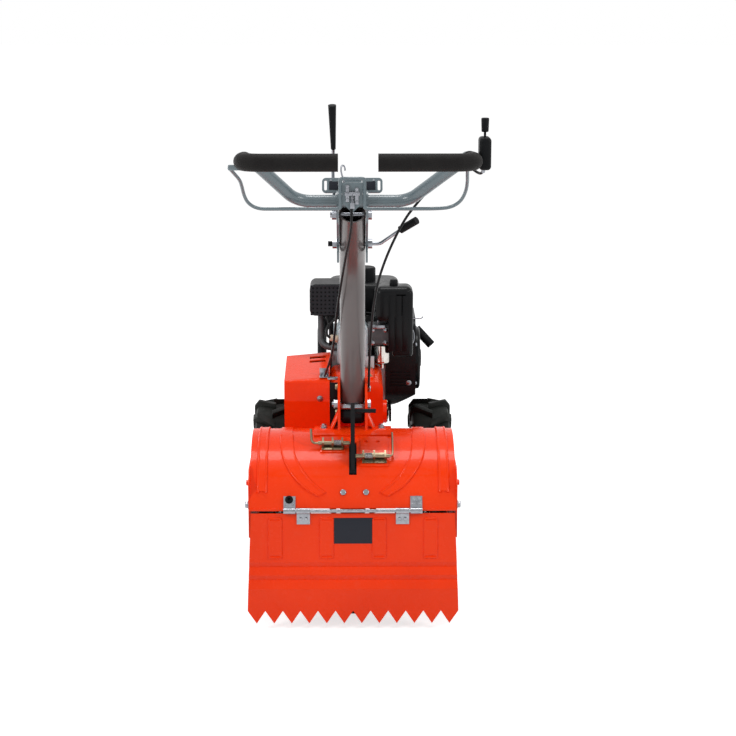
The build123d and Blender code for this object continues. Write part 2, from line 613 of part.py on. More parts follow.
def gear_case():
    """The painted casting: input housing, axle housing and the chain case down to the rotor."""
    upper = rounded_block(CASE_X0, CASE_X1, CASE_REAR_Y, CASE_FRONT_Y, CASE_BOTTOM_Z - 30, CASE_TOP_Z, 20,
                          (Axis.Y,))
    arm_end = Pos(ROTOR_Y, ROTOR_Z) * Circle(ARM_END_RADIUS)
    arm_root = Pos(ARM_ROOT_Y, ARM_ROOT_Z) * Circle(ARM_ROOT_RADIUS)
    arm = side_prism(make_hull((arm_end + arm_root).edges()), -ARM_HALF, ARM_HALF)
    axle_case = rod_x(AXLE_CASE_RADIUS, -AXLE_CASE_HALF, AXLE_CASE_HALF, AXLE_Y, TYRE_RADIUS)
    tower = block(-AXLE_CASE_HALF, AXLE_CASE_HALF, 250, AXLE_Y + 70, TYRE_RADIUS, PLATE_Z)
    tubes = rod_x(AXLE_HOUSING_RADIUS, -AXLE_HOUSING_X, AXLE_HOUSING_X, AXLE_Y, TYRE_RADIUS)
    boss = rod_x(30, CASE_X1 - 5, CASE_X1 + 10, 150, CASE_BOTTOM_Z + 32)
    case = upper + arm + axle_case + tower + tubes + boss
    case -= rod_x(AXLE_RADIUS + SHAFT_GAP, -300, 300, AXLE_Y, TYRE_RADIUS)
    return case - rod_x(ROTOR_SHAFT_RADIUS + SHAFT_GAP, -100, 100, ROTOR_Y, ROTOR_Z)


def engine_cradle():
    """The folded plate under the engine, with a drilled front flange for a weight or a bumper."""
    top = PLATE_Z + PLATE_THICKNESS
    cradle = block(-PLATE_HALF, PLATE_HALF, PLATE_REAR_Y, PLATE_FRONT_Y, PLATE_Z, top)
    for x in (-PLATE_HALF, PLATE_HALF - PLATE_THICKNESS):
        cradle += block(x, x + PLATE_THICKNESS, PLATE_REAR_Y, PLATE_FRONT_Y, PLATE_Z - SIDE_FLANGE, top)
    front = block(-PLATE_HALF, PLATE_HALF, PLATE_FRONT_Y - PLATE_THICKNESS, PLATE_FRONT_Y,
                  PLATE_Z - CRADLE_DEPTH, top)
    for x in (-MOUNT_HOLE_X, MOUNT_HOLE_X):
        for z in MOUNT_HOLE_Z:
            front -= Pos(x, PLATE_FRONT_Y, z) * Rot(90, 0, 0) * Cylinder(MOUNT_HOLE_RADIUS, 40)
    return cradle + front


def front_guard():
    """The bent tube hoop in front of the engine, standing on the cradle."""
    foot = PLATE_Z + PLATE_THICKNESS
    points = [(-GUARD_HALF, GUARD_FOOT_Y, foot), (-GUARD_HALF, GUARD_FRONT_Y, GUARD_TOP_Z),
              (GUARD_HALF, GUARD_FRONT_Y, GUARD_TOP_Z), (GUARD_HALF, GUARD_FOOT_Y, foot)]
    hoop = bent_tube(points, GUARD_RADIUS, 55)
    floor = block(-200, 200, 500, 700, foot - 60, foot)
    return hoop - floor


# Engine

def engine_block():
    """The crankcase on the cradle."""
    c = CRANKCASE
    foot = PLATE_Z + PLATE_THICKNESS
    return rounded_block(c["x0"], c["x1"], c["y0"], c["y1"], foot, c["z1"], 16, (Axis.X,))


def cylinder_head():
    """The finned cylinder and its rocker cover, leaning back from the crankcase."""
    h = HEAD
    core = block(h["x0"] + 10, h["x1"] - 10, h["y0"] + 16, h["y1"], h["z0"] + 8, h["z1"] - 8)
    fins = []
    for i in range(FIN_COUNT):
        y = h["y0"] + 22 + i * 11.5
        fin = rounded_block(h["x0"], h["x1"], y, y + FIN_THICKNESS, h["z0"], h["z1"], 14, (Axis.Y,))
        fins.append(fin)
    cover = rounded_block(h["x0"] + 4, h["x1"] - 4, h["y0"], h["y0"] + 20, h["z0"] + 6, h["z1"] - 6, 12,
                          (Axis.Y,))
    return core + fins + cover


def blower_housing():
    """The black fan housing with its recoil cover."""
    b = BLOWER
    y_mid = (b["y0"] + b["y1"]) / 2
    z_mid = (b["z0"] + b["z1"]) / 2
    profile = Pos(y_mid, z_mid) * RectangleRounded(b["y1"] - b["y0"], b["z1"] - b["z0"], 50)
    housing = side_prism(profile, b["x0"], b["x1"])
    bevel = make_face(Polyline((b["x0"] + 12, b["z0"] - 1), (b["x1"] + 30, b["z0"] + 56),
                               (b["x1"] + 30, b["z0"] - 1), (b["x0"] + 12, b["z0"] - 1)))
    housing -= extrude(Plane.XZ.offset(-b["y1"] - 5) * bevel, b["y1"] - b["y0"] + 10)
    face_x = b["x1"] + DRUM_DEPTH
    drum = rod_x(DRUM_RADIUS, b["x1"] - 1, face_x, y_mid, CRANK_Z + 8)
    drum = fillet(drum.edges().group_by(Axis.X)[-1], 7)
    for i in range(DRUM_SLOTS):
        slot = Rot(360 / DRUM_SLOTS * i, 0, 0) * Pos(0, DRUM_RADIUS * 0.62, 0) * Box(8, DRUM_RADIUS * 0.42, 8)
        drum -= Pos(face_x, y_mid, CRANK_Z + 8) * slot
    for i in range(LOUVRES):
        z = b["z0"] + 62 + LOUVRE_PITCH * i
        housing -= block(b["x0"] + 12, b["x1"] - 14, b["y0"] - 1, b["y0"] + 4, z, z + LOUVRE_PITCH / 2)
    return housing + drum


def starter_grip():
    """The starter handle hanging from the recoil cover."""
    x, y, z = BLOWER["x1"], *STARTER_PLACE
    root, tip = (x + 8, y, z), (x + 50, y - 8, z - 45)
    neck = bent_tube([(x - 6, y, z + 15), root], 5)
    return bent_tube([root, tip], 12) + neck - block(x - 60, x + 0.2, y - 90, y + 90, z - 170, z + 60)


def fuel_tank():
    """The tank over the engine."""
    t = TANK
    tank = block(t["x0"], t["x1"], t["y0"], t["y1"], t["z0"], t["z1"])
    tank = fillet(tank.edges().filter_by(Axis.Z), 34)
    tank = fillet(tank.edges().group_by(Axis.Z)[-1], 18)
    stand = block(t["x0"] + 40, t["x1"] - 50, t["y0"] + 10, CRANKCASE["y1"] - 20, CRANKCASE["z1"], t["z0"] + 1)
    return tank + stand


def fuel_cap():
    """The filler cap, standing on the tank."""
    y = (TANK["y0"] + TANK["y1"]) / 2
    cap = rod_z(CAP_RADIUS, TANK["z1"], CAP_TOP_Z, CAP_X, y)
    return fillet(cap.edges().group_by(Axis.Z)[-1], 5)


def air_cleaner():
    """The air cleaner: a tall rounded cover with a knob on top."""
    a = AIR_CLEANER
    cover = block(a["x0"], a["x1"], a["y0"], a["y1"], a["z0"], a["z1"])
    cover = fillet(cover.edges().filter_by(Axis.Z), 16)
    cover -= block(a["x0"] - 1, AIR_CLEANER_NECK_X, a["y0"] - 1, a["y1"] + 1, a["z0"] - 1, AIR_CLEANER_STEP_Z)
    cover = fillet(cover.edges().group_by(Axis.Z)[-1], 14)
    x, y = (a["x0"] + a["x1"]) / 2, (a["y0"] + a["y1"]) / 2
    return cover + rod_z(9, a["z1"] - 1, a["z1"] + 14, x, y)


def carburettor():
    """The carburettor between the cylinder head and the air cleaner."""
    z0, z1 = HEAD["z1"] - 60, HEAD["z1"]
    y = BOWL_PLACE[1]
    body = rounded_block(HEAD["x1"] + SEAT_GAP, 98, y - 21, y + 21, z0, z1, 10, (Axis.X,))
    neck = rod_x(15, 90, AIR_CLEANER_NECK_X, y, z0 + 26)
    return body + neck


def fuel_bowl():
    """The bright float bowl under the carburettor."""
    top = HEAD["z1"] - 60
    floor = top - 50
    bowl = rod_z(21, floor, top, *BOWL_PLACE)
    bowl = fillet(bowl.edges().group_by(Axis.Z)[0], 8)
    return bowl + rod_z(5, floor - 12, floor + 1, *BOWL_PLACE)


def muffler():
    """The silencer box and the pipe to the cylinder head."""
    m = MUFFLER
    box = block(m["x0"], m["x1"], m["y0"], m["y1"], m["z0"], m["z1"])
    box = fillet(box.edges().filter_by(Axis.Y), 16)
    for i in range(MUFFLER_SLOTS):
        z = m["z0"] + 22 + MUFFLER_SLOT_PITCH * i
        box -= block(m["x0"] - 1, m["x0"] + 3, m["y0"] + 18, m["y1"] - 18, z, z + MUFFLER_SLOT_PITCH / 2)
    pipe = rod_z(13, CRANKCASE["z1"], m["z0"] + 1, -24, 332)
    return box + pipe


# Belt cover

def belt_cover():
    """The pressed belt cover on the left: a drafted shell, open towards the engine."""
    floor = PLATE_Z + PLATE_THICKNESS + 6
    outline = [(98, CASE_TOP_Z + 10), (90, CASE_TOP_Z - 50), (102, floor - 26), (222, floor - 26), (262, floor), (450, floor),
               (478, floor + 44), (446, CASE_TOP_Z - 22), (312, CASE_TOP_Z + 32)]
    face = make_face(Polyline(*outline, outline[0]))
    face = fillet(face.vertices(), COVER_CORNER)
    depth = COVER_X1 - COVER_X0
    outer = extrude(Plane.YZ.offset(COVER_X1) * face, -depth, taper=COVER_TAPER)
    inner_face = offset(face, -COVER_SHEET)
    inner = extrude(Plane.YZ.offset(COVER_X1) * inner_face, -depth + COVER_SHEET, taper=COVER_TAPER)
    for y in (236, 268):
        pocket = block((COVER_X0 + COVER_X1) / 2 + 4, COVER_X1 - 12, y, y + 18, CASE_TOP_Z + 18, CASE_TOP_Z + 60)
        outer -= pocket
    return outer - inner


# Mast

def mast_axis():
    """The mast's unit directions at its foot and at its head, in side view."""
    rise = math.dist(MAST_FOOT, MAST_KNEE)
    low = ((MAST_KNEE[0] - MAST_FOOT[0]) / rise, (MAST_KNEE[1] - MAST_FOOT[1]) / rise)
    rise = math.dist(MAST_KNEE, MAST_HEAD)
    high = ((MAST_HEAD[0] - MAST_KNEE[0]) / rise, (MAST_HEAD[1] - MAST_KNEE[1]) / rise)
    return low, high


def clamp_place():
    """Y and Z of the clamp bolt, on the mast's upper run."""
    share = (MAST_CLAMP_Z - MAST_KNEE[1]) / (MAST_HEAD[1] - MAST_KNEE[1])
    return (MAST_KNEE[0] + share * (MAST_HEAD[0] - MAST_KNEE[0]), MAST_CLAMP_Z)


def mast():
    """The single bent tube that carries the handlebar, drilled for its three bolts."""
    low, high = mast_axis()
    foot = (0, MAST_FOOT[0] + 14 * low[0], MAST_FOOT[1] + 14 * low[1])
    head = (0, MAST_HEAD[0] + 14 * high[0], MAST_HEAD[1] + 14 * high[1])
    knee = (0, MAST_KNEE[0], MAST_KNEE[1])
    tube = bent_tube([foot, knee, head], MAST_RADIUS, MAST_KNEE_RADIUS, MAST_WALL)
    for y, z in (MAST_HEAD, clamp_place()):
        tube -= rod_x(BOLT_RADIUS + BOLT_GAP, -60, 60, y, z)
    return tube


def mast_bracket():
    """The two ears between the hood and the gear case, on a curved foot plate."""
    seat = HOOD_RADIUS + SEAT_GAP
    foot = hood_prism(seat, seat + 5, 74, 101, -EAR_FOOT_HALF, EAR_FOOT_HALF)
    rear_z = HOOD_Z + HOOD_RADIUS - 25
    front_z = CASE_BOTTOM_Z + 6
    y, z = MAST_FOOT
    outline = [(y - 70, rear_z), (y - 60, z + 20), (y - 28, z + EAR_RISE), (y + 34, z + EAR_RISE),
               (CASE_REAR_Y, z + 5), (CASE_REAR_Y, front_z), (y + 92, front_z), (y + 52, rear_z),
               (y - 70, rear_z)]
    profile = make_face(Polyline(*outline))
    inside = MAST_RADIUS + SEAT_GAP
    bracket = foot
    for x in (inside, -inside - EAR_THICKNESS):
        bracket += side_prism(profile, x, x + EAR_THICKNESS) - hood_core(seat + 4)
    return bracket - rod_x(BOLT_RADIUS + BOLT_GAP, -60, 60, *MAST_FOOT)


def mast_spacer():
    """The bright spacer tube between the ears, round the foot bolt."""
    half = MAST_RADIUS + SEAT_GAP - 0.1
    return rod_x(12, -half, half, *MAST_FOOT) - rod_x(BOLT_RADIUS + BOLT_GAP, -60, 60, *MAST_FOOT)


def bolt_x(y, z, half_grip):
    """A hexagon bolt along X with its nut, for a stack of the given half thickness."""
    shank = rod_x(BOLT_RADIUS, -half_grip - 14, half_grip + 6, y, z)
    head = Pos(half_grip, y, z) * Rot(0, 90, 0) * extrude(RegularPolygon(11, 6), 8)
    nut = Pos(-half_grip - 10, y, z) * Rot(0, 90, 0) * extrude(RegularPolygon(11, 6), 10)
    return shank + head + nut


def mast_bolts():
    """The foot bolt and the handlebar's pivot bolt."""
    ear_half = MAST_RADIUS + SEAT_GAP + EAR_THICKNESS + 0.2
    plate_half = MAST_RADIUS + 0.5 + HEAD_PLATE + 0.4
    return Compound(children=[bolt_x(*MAST_FOOT, ear_half), bolt_x(*MAST_HEAD, plate_half)])


def clamp_lever():
    """The clamp bolt through the mast, with its bent lever and knob on the right."""
    y, z = clamp_place()
    half = MAST_RADIUS + 0.5 + HEAD_PLATE + 0.4
    bolt = rod_x(BOLT_RADIUS, -56, half + 8, y, z)
    nut = Pos(-half - 10, y, z) * Rot(0, 90, 0) * extrude(RegularPolygon(11, 6), 10)
    collar = rod_x(11, half, half + 10, y, z)
    lever = bent_tube([(half + 6, y, z), (64, y, z), (116, y - 36, z + 42)], 4, 14)
    knob = bent_tube([(110, y - 32, z + 37), (146, y - 55, z + 62)], 9)
    return bolt + nut + collar + lever + knob


# Handlebar

def bar_points(sign):
    """One half of the handlebar, from the inner end of its grip to the middle of the machine."""
    y, z = BAR_CENTRE
    inner, outer, rise = (sign * x + GRIP_SHIFT for x in (GRIP_INNER_X + 2, GRIP_OUTER_X, GRIP_OUTER_X - 16))
    return [(inner, GRIP_Y, GRIP_Z), (outer, GRIP_Y, GRIP_Z), (rise, GRIP_Y + 130, GRIP_Z - 5),
            (sign * BAR_FLAT_X, y, z), (0, y, z)]


def handlebar_tube():
    """The handlebar: one tube, bent up and back on each side and turned in at the grips."""
    left = bar_points(-1)
    right = bar_points(1)
    path = left[:-1] + right[-2::-1]
    return bent_tube(path, BAR_RADIUS, [GRIP_BEND, 70, 60, 60, 70, GRIP_BEND], BAR_WALL)


def grip(sign):
    """A foam grip over the end of the handlebar and round its bend."""
    end, corner, rise = bar_points(sign)[:3]
    share = 0.5
    stop = tuple(c + share * (r - c) for c, r in zip(corner, rise))
    start = (sign * GRIP_INNER_X + GRIP_SHIFT, end[1], end[2])
    sleeve = bent_tube([start, corner, stop], GRIP_RADIUS, GRIP_BEND)
    bore = bent_tube([end, corner, rise], BAR_RADIUS + SEAT_GAP, GRIP_BEND)
    return sleeve - bore


def head_plates():
    """The two side plates that hold the bar, turn on the pivot bolt and are held by the clamp slot."""
    y, z = clamp_place()
    reach = math.dist(MAST_HEAD, (y, z))
    angle = math.degrees(math.atan2(z - MAST_HEAD[1], y - MAST_HEAD[0]))
    bar = (BAR_CENTRE[0] - MAST_HEAD[0], BAR_CENTRE[1] - MAST_HEAD[1])
    top = Pos(*bar) * Circle(BAR_RADIUS + 9)
    profile = make_hull((Circle(22) + top).edges())
    profile += make_hull((Circle(20) + Pos(*polar(reach - 20, angle)) * Circle(16)).edges())
    profile += ring_sector(reach - 15, reach + 15, angle - TILT_LIMIT - 8, angle + TILT_LIMIT + 8)
    width = BOLT_RADIUS + 1
    slot = ring_sector(reach - width, reach + width, angle - TILT_LIMIT, angle + TILT_LIMIT)
    for side in (-TILT_LIMIT, TILT_LIMIT):
        slot += Pos(*polar(reach, angle + side)) * Circle(width)
    profile -= slot
    profile -= Circle(BOLT_RADIUS + BOLT_GAP)
    profile -= Pos(*bar) * Circle(BAR_RADIUS + 0.2)
    x = MAST_RADIUS + 0.5
    right = side_prism(Pos(*MAST_HEAD) * profile, x, x + HEAD_PLATE)
    return Compound(children=[right, mirrored(right)])


def linkage_shield():
    """The bent shield over the control linkage, between the head plates, pointed at its lower end."""
    y = BAR_CENTRE[0] - BAR_RADIUS
    half = BAIL_UPRIGHT_X - BAIL_RADIUS - SEAT_GAP
    top, shoulder, tip = BAIL_TOP_Z - 9, BAR_CENTRE[1], BAR_CENTRE[1] - 22
    face = make_face(Polyline((-half, top), (half, top), (half, shoulder), (0, tip), (-half, shoulder),
                              (-half, top)))
    shield = extrude(Plane.XZ.offset(-y + 15) * face, 3)
    for x in (-half, half - 3):
        shield += block(x, x + 3, y - 16, y + 20, shoulder + 7, top)
    return shield - rod_x(BAR_RADIUS + SEAT_GAP, -60, 60, *BAR_CENTRE)


def safety_bail():
    """The wire bail below the grips, in one piece, with its upright loop at the middle."""
    y = BAR_CENTRE[0] - 32
    low, x = BAR_CENTRE[1] - 13, BAIL_UPRIGHT_X
    left = [(-262, -520, 1135), (-241, -458, 1100), (-238, -418, 1064), (-206, y, low), (-x, y, low),
            (-x, y, BAIL_TOP_Z)]
    right = [(x, y, BAIL_TOP_Z), (x, y, low), (218, y, low), (251, -425, 1074), (247, -492, 1128)]
    return bent_tube(left + right, BAIL_RADIUS, [16, 18, 26, 8, 8, 8, 8, 34, 22])


def control_panel():
    """The lever panel behind the bar, with a rounded loop at each end."""
    plate = RectangleRounded(136, 36, 9)
    for x in (-60, 60):
        plate -= Pos(x, 0) * RectangleRounded(6, 24, 2.9)
    panel = extrude(plate, 3)
    panel = Pos(0, -318, 1072) * Rot(62, 0, 0) * panel
    inner = MAST_RADIUS + 0.5 - SEAT_GAP
    for x in (-inner, inner - 4):
        panel += block(x, x + 4, -345, -316, 1050, 1070)
    return panel


def shift_lever():
    """The gear lever: a rod through the panel with a tapered grip."""
    low, high = SHIFT_GRIP
    rod = bent_tube([SHIFT_FOOT, SHIFT_KNEE, low], 4, 30)
    axis = Vector(*high) - Vector(*low)
    plane = Plane(origin=low, z_dir=axis)
    handle = plane * Pos(0, 0, axis.length / 2) * Cone(5.5, 9, axis.length)
    return rod + handle


def throttle_control():
    """The thumb throttle clamped to the right bend of the bar."""
    corner, rise = (Vector(*p) for p in bar_points(1)[1:3])
    run = (rise - corner).normalized()
    middle = corner + (rise - corner) * THROTTLE_SHARE
    bore = bent_tube([corner, rise], BAR_RADIUS + BOLT_GAP)
    ring = bent_tube([middle - run * 10, middle + run * 10], BAR_RADIUS + 6)
    x0, x1 = middle.X + BAR_RADIUS + 5, middle.X + THROTTLE_REACH
    top = middle.Z + THROTTLE_RISE
    y0, y1 = middle.Y - 16, middle.Y + 32
    body = rounded_block(x0, x1, y0, y1, middle.Z - 22, top, 6, (Axis.X,))
    knob_x, knob_y = (x0 + x1) / 2, (y0 + y1) / 2
    stem = rod_z(3, top - 1, top + 16, knob_x, knob_y)
    knob = rounded_block(knob_x - 7, knob_x + 7, knob_y - 8, knob_y + 8, top + 10, top + 40, 4, (Axis.Z,))
    return (ring + body - bore) + stem + knob


# Control cables

def cable(points, radius):
    """A sheathed cable along runs joined by arcs as large as the runs allow."""
    bends = []
    for before, corner, after in zip(points, points[1:], points[2:]):
        first, second = Vector(*corner) - Vector(*before), Vector(*after) - Vector(*corner)
        turn = math.radians(first.get_angle(second))
        bends.append(0.45 * min(first.length, second.length) / math.tan(turn / 2))
    return bent_tube(points, radius, bends)


THROTTLE_CABLE = [(121, -337, 1004), (100, -318, 962), (77, -290, 905), (60, -262, 848), (50, -228, 788),
                  (45, -190, 728), (42, -152, 668), (40, -116, 608), (39.6, -84, 552)]
CLUTCH_CABLE = [(-2, -372, 990), (-7, -332, 951), (-14, -288, 912), (-21, -238, 866), (-30, -190, 806),
                (-38, -148, 744), (-43, -104, 686), (-49, -52, 634), (-57, 10, 590),
                (-66, 64, 556), (-71, 110, 532.8)]
CABLE_RADIUS = 3


def build():
    """Every sub-part by name."""
    parts = {}
    parts.update(wheel_parts())
    parts.update(rotor_parts())
    parts["tine_hood"] = tine_hood()
    parts["stake_guide"] = stake_guide()
    parts["hood_side_plates"] = hood_side_plates()
    parts["latch_plates"] = latch_plates()
    parts["stake_latches"] = Compound(children=[latch(*place) for place in LATCHES])
    parts["latch_plungers"] = latch_plungers()
    parts["depth_stake"] = depth_stake()
    parts["rear_flap"] = rear_flap()
    parts["flap_knuckles"] = flap_knuckles()
    parts["flap_hinge"] = flap_hinge()
    parts["gear_case"] = gear_case()
    parts["engine_cradle"] = engine_cradle()
    parts["front_guard"] = front_guard()
    parts["engine_block"] = engine_block()
    parts["cylinder_head"] = cylinder_head()
    parts["blower_housing"] = blower_housing()
    parts["starter_grip"] = starter_grip()
    parts["fuel_tank"] = fuel_tank()
    parts["fuel_cap"] = fuel_cap()
    parts["air_cleaner"] = air_cleaner()
    parts["carburettor"] = carburettor()
    parts["fuel_bowl"] = fuel_bowl()
    parts["muffler"] = muffler()
    parts["belt_cover"] = belt_cover()
    parts["mast"] = mast()
    parts["mast_bracket"] = mast_bracket()
    parts["mast_spacer"] = mast_spacer()
    parts["mast_bolts"] = mast_bolts()
    parts["clamp_lever"] = clamp_lever()
    parts["handlebar_tube"] = handlebar_tube()
    parts["grip_left"] = grip(-1)
    parts["grip_right"] = grip(1)
    parts["head_plates"] = head_plates()
    parts["linkage_shield"] = linkage_shield()
    parts["safety_bail"] = safety_bail()
    parts["control_panel"] = control_panel()
    parts["shift_lever"] = shift_lever()
    parts["throttle_control"] = throttle_control()
    parts["throttle_cable"] = cable(THROTTLE_CABLE, CABLE_RADIUS)
    parts["clutch_cable"] = cable(CLUTCH_CABLE, CABLE_RADIUS)
    return parts


os.makedirs("parts", exist_ok=True)
for name, solid in build().items():
    export_step(solid, "parts/" + name + ".step")
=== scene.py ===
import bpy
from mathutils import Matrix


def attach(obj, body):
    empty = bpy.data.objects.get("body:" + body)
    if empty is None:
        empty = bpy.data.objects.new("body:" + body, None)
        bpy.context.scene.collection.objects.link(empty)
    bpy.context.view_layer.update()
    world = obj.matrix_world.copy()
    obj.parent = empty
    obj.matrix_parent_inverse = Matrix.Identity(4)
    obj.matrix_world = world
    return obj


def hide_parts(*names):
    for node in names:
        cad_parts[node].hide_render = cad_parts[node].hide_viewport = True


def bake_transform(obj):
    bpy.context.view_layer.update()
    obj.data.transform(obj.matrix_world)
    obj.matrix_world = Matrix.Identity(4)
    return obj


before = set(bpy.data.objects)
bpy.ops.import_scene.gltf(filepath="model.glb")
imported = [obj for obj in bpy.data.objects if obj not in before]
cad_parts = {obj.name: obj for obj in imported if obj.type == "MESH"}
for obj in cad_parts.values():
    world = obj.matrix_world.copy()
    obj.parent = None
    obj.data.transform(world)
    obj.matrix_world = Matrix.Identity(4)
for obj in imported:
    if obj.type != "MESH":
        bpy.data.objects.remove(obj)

"""Finish and small fittings of a rear tine tiller, dressed over its fixed CAD frame, seen from behind.

Metres. +X is the machine's right as the operator stands at the grips, +Y is forward and +Z is up.
"""

import logging
import math
from dataclasses import dataclass
from enum import Enum
from typing import Callable

import bpy
from mathutils import Matrix, Vector

MM = 0.001
MERGE = 1e-6          # metres within which a closed seam's vertices are one
SMOOTH = 35.0         # degrees up to which an edge is shaded smooth
WASHER_RISE = 1.4     # of a head over a washer's foot
LOG = logging.getLogger("tiller")

Socket = bpy.types.NodeSocket
Piece = bpy.types.Object
Finish = bpy.types.Material


class Facing(Enum):
    """Which way a fitting points."""

    RIGHT = (1.0, 0.0, 0.0)
    LEFT = (-1.0, 0.0, 0.0)
    REARWARD = (0.0, -1.0, 0.0)
    UP = (0.0, 0.0, 1.0)


class Head(Enum):
    """The kinds of fastener head."""

    HEX = 6
    DOME = 24
    SOCKET = 20


class Body(Enum):
    """The CAD bodies that pieces ride on."""

    CHASSIS = "chassis"
    FLAP = "flap"
    HANDLEBAR = "handlebar"
    WHEEL_LEFT = "wheel_left"
    WHEEL_RIGHT = "wheel_right"
    ROTOR = "rotor"


class Bench:
    """Makes, shapes and finishes pieces with Blender's own tools. Sizes and places are in millimetres."""

    @staticmethod
    def settle() -> Piece:
        """Applies the new piece's place, turn and scale to its mesh."""
        bpy.ops.object.transform_apply(location=True, rotation=True, scale=True)
        return bpy.context.object

    @staticmethod
    def cylinder(radius: float, depth: float, place: tuple, facing: tuple = Facing.UP.value, sides: int = 32,
                 top: float | None = None) -> Piece:
        """A cylinder or a cone standing on a point.

        Args:
            radius: at its foot.
            depth: its length.
            place: the middle of its foot.
            facing: the direction that it points along.
            sides: flat sides round it.
            top: its radius at the far end, where that differs.

        Returns:
            The new piece.
        """
        deselect()
        way = Vector(facing).normalized()
        middle = Vector(place) * MM + way * depth * MM / 2
        turn = way.to_track_quat("Z", "Y").to_euler()
        far = radius if top is None else top
        bpy.ops.mesh.primitive_cone_add(vertices=sides, radius1=radius * MM, radius2=far * MM, depth=depth * MM,
                                        location=middle, rotation=turn)
        return Bench.settle()

    @staticmethod
    def block(low: tuple, high: tuple) -> Piece:
        """A box between two corners."""
        deselect()
        a, b = Vector(low) * MM, Vector(high) * MM
        bpy.ops.mesh.primitive_cube_add(size=1.0, location=(a + b) / 2, scale=b - a)
        return Bench.settle()

    @staticmethod
    def turned(profile: list, place: tuple = (0.0, 0.0, 0.0), steps: int = 72) -> Piece:
        """A ring turned about the X axis.

        Args:
            profile: its closed section, as (X, radius) pairs.
            place: where its centre goes.
            steps: flat sides round it.

        Returns:
            The new piece.
        """
        deselect()
        bpy.ops.mesh.primitive_circle_add(vertices=len(profile), radius=1.0)
        ring = bpy.context.object
        for vertex, (x, radius) in zip(ring.data.vertices, profile):
            vertex.co = (x * MM, radius * MM, 0.0)
        bpy.ops.object.mode_set(mode="EDIT")
        bpy.ops.mesh.select_all(action="SELECT")
        bpy.ops.mesh.spin(steps=steps, angle=math.tau, center=(0.0, 0.0, 0.0), axis=(1.0, 0.0, 0.0))
        bpy.ops.object.mode_set(mode="OBJECT")
        Bench.face_outward(ring, merge=True)
        ring.location = Vector(place) * MM
        return Bench.settle()

    @staticmethod
    def choose(piece: Piece) -> None:
        """Makes one piece the only one selected."""
        deselect()
        piece.select_set(True)
        bpy.context.view_layer.objects.active = piece

    @staticmethod
    def face_outward(piece: Piece, merge: bool = False, holes: int = 0) -> Piece:
        """Turns all of a piece's faces the right way out.

        Args:
            piece: the piece.
            merge: whether its doubles are merged first.
            holes: the most sides of a hole that is filled first, or 0 for none.

        Returns:
            The piece.
        """
        Bench.choose(piece)
        bpy.ops.object.mode_set(mode="EDIT")
        bpy.ops.mesh.select_all(action="SELECT")
        if merge:
            bpy.ops.mesh.remove_doubles(threshold=MERGE)
        if holes:
            bpy.ops.mesh.fill_holes(sides=holes)
        bpy.ops.mesh.normals_make_consistent(inside=False)
        bpy.ops.object.mode_set(mode="OBJECT")
        return piece

    @staticmethod
    def apply(piece: Piece, kind: str, **values) -> Piece:
        """Adds a modifier and applies it.

        Args:
            piece: the piece.
            kind: the modifier's type.
            values: the modifier's settings.

        Returns:
            The piece.
        """
        Bench.choose(piece)
        modifier = piece.modifiers.new(kind.lower(), kind)
        for name, value in values.items():
            setattr(modifier, name, value)
        bpy.ops.object.modifier_apply(modifier=modifier.name)
        return piece

    @staticmethod
    def soften(piece: Piece, width: float, segments: int = 2, angle: float = 30.0) -> Piece:
        """Rounds the edges that are sharper than an angle."""
        return Bench.apply(piece, "BEVEL", width=width * MM, segments=segments, limit_method="ANGLE",
                           angle_limit=math.radians(angle))

    @staticmethod
    def edit_faces(piece: Piece, facing: tuple, nearness: float = 0.9) -> None:
        """Opens a piece in edit mode with the faces that look one way selected.

        Args:
            piece: the piece.
            facing: the way that the faces look.
            nearness: how near to it, as the cosine of the angle between them.
        """
        Bench.choose(piece)
        bpy.context.tool_settings.mesh_select_mode = (False, False, True)
        mesh, way = piece.data, Vector(facing)
        mesh.vertices.foreach_set("select", [False] * len(mesh.vertices))
        mesh.edges.foreach_set("select", [False] * len(mesh.edges))
        mesh.polygons.foreach_set("select", [p.normal.dot(way) > nearness for p in mesh.polygons])
        bpy.ops.object.mode_set(mode="EDIT")

    @staticmethod
    def join(pieces: list) -> Piece:
        """Joins pieces into the first of them."""
        deselect()
        for piece in pieces:
            piece.select_set(True)
        bpy.context.view_layer.objects.active = pieces[0]
        if len(pieces) > 1:
            bpy.ops.object.join()
        return pieces[0]

    @staticmethod
    def spread(master: Piece, seats: list) -> Piece:
        """Copies a piece, modelled at the origin and pointing up, to every seat.

        Args:
            master: the piece, which is used up.
            seats: rows of a place and the direction that the copy points along.

        Returns:
            All the copies as one piece.
        """
        copies = []
        for place, facing in seats:
            way = Vector(facing).normalized().to_track_quat("Z", "Y").to_matrix().to_4x4()
            copies.append(Bench.copy(master, Matrix.Translation(Vector(place) * MM) @ way))
        bpy.data.objects.remove(master)
        return Bench.join(copies)

    @staticmethod
    def copy(master: Piece, matrix: Matrix) -> Piece:
        """A copy of a piece with its own mesh, moved by a matrix."""
        copy = master.copy()
        copy.data = master.data.copy()
        copy.data.transform(matrix)
        bpy.context.scene.collection.objects.link(copy)
        return copy

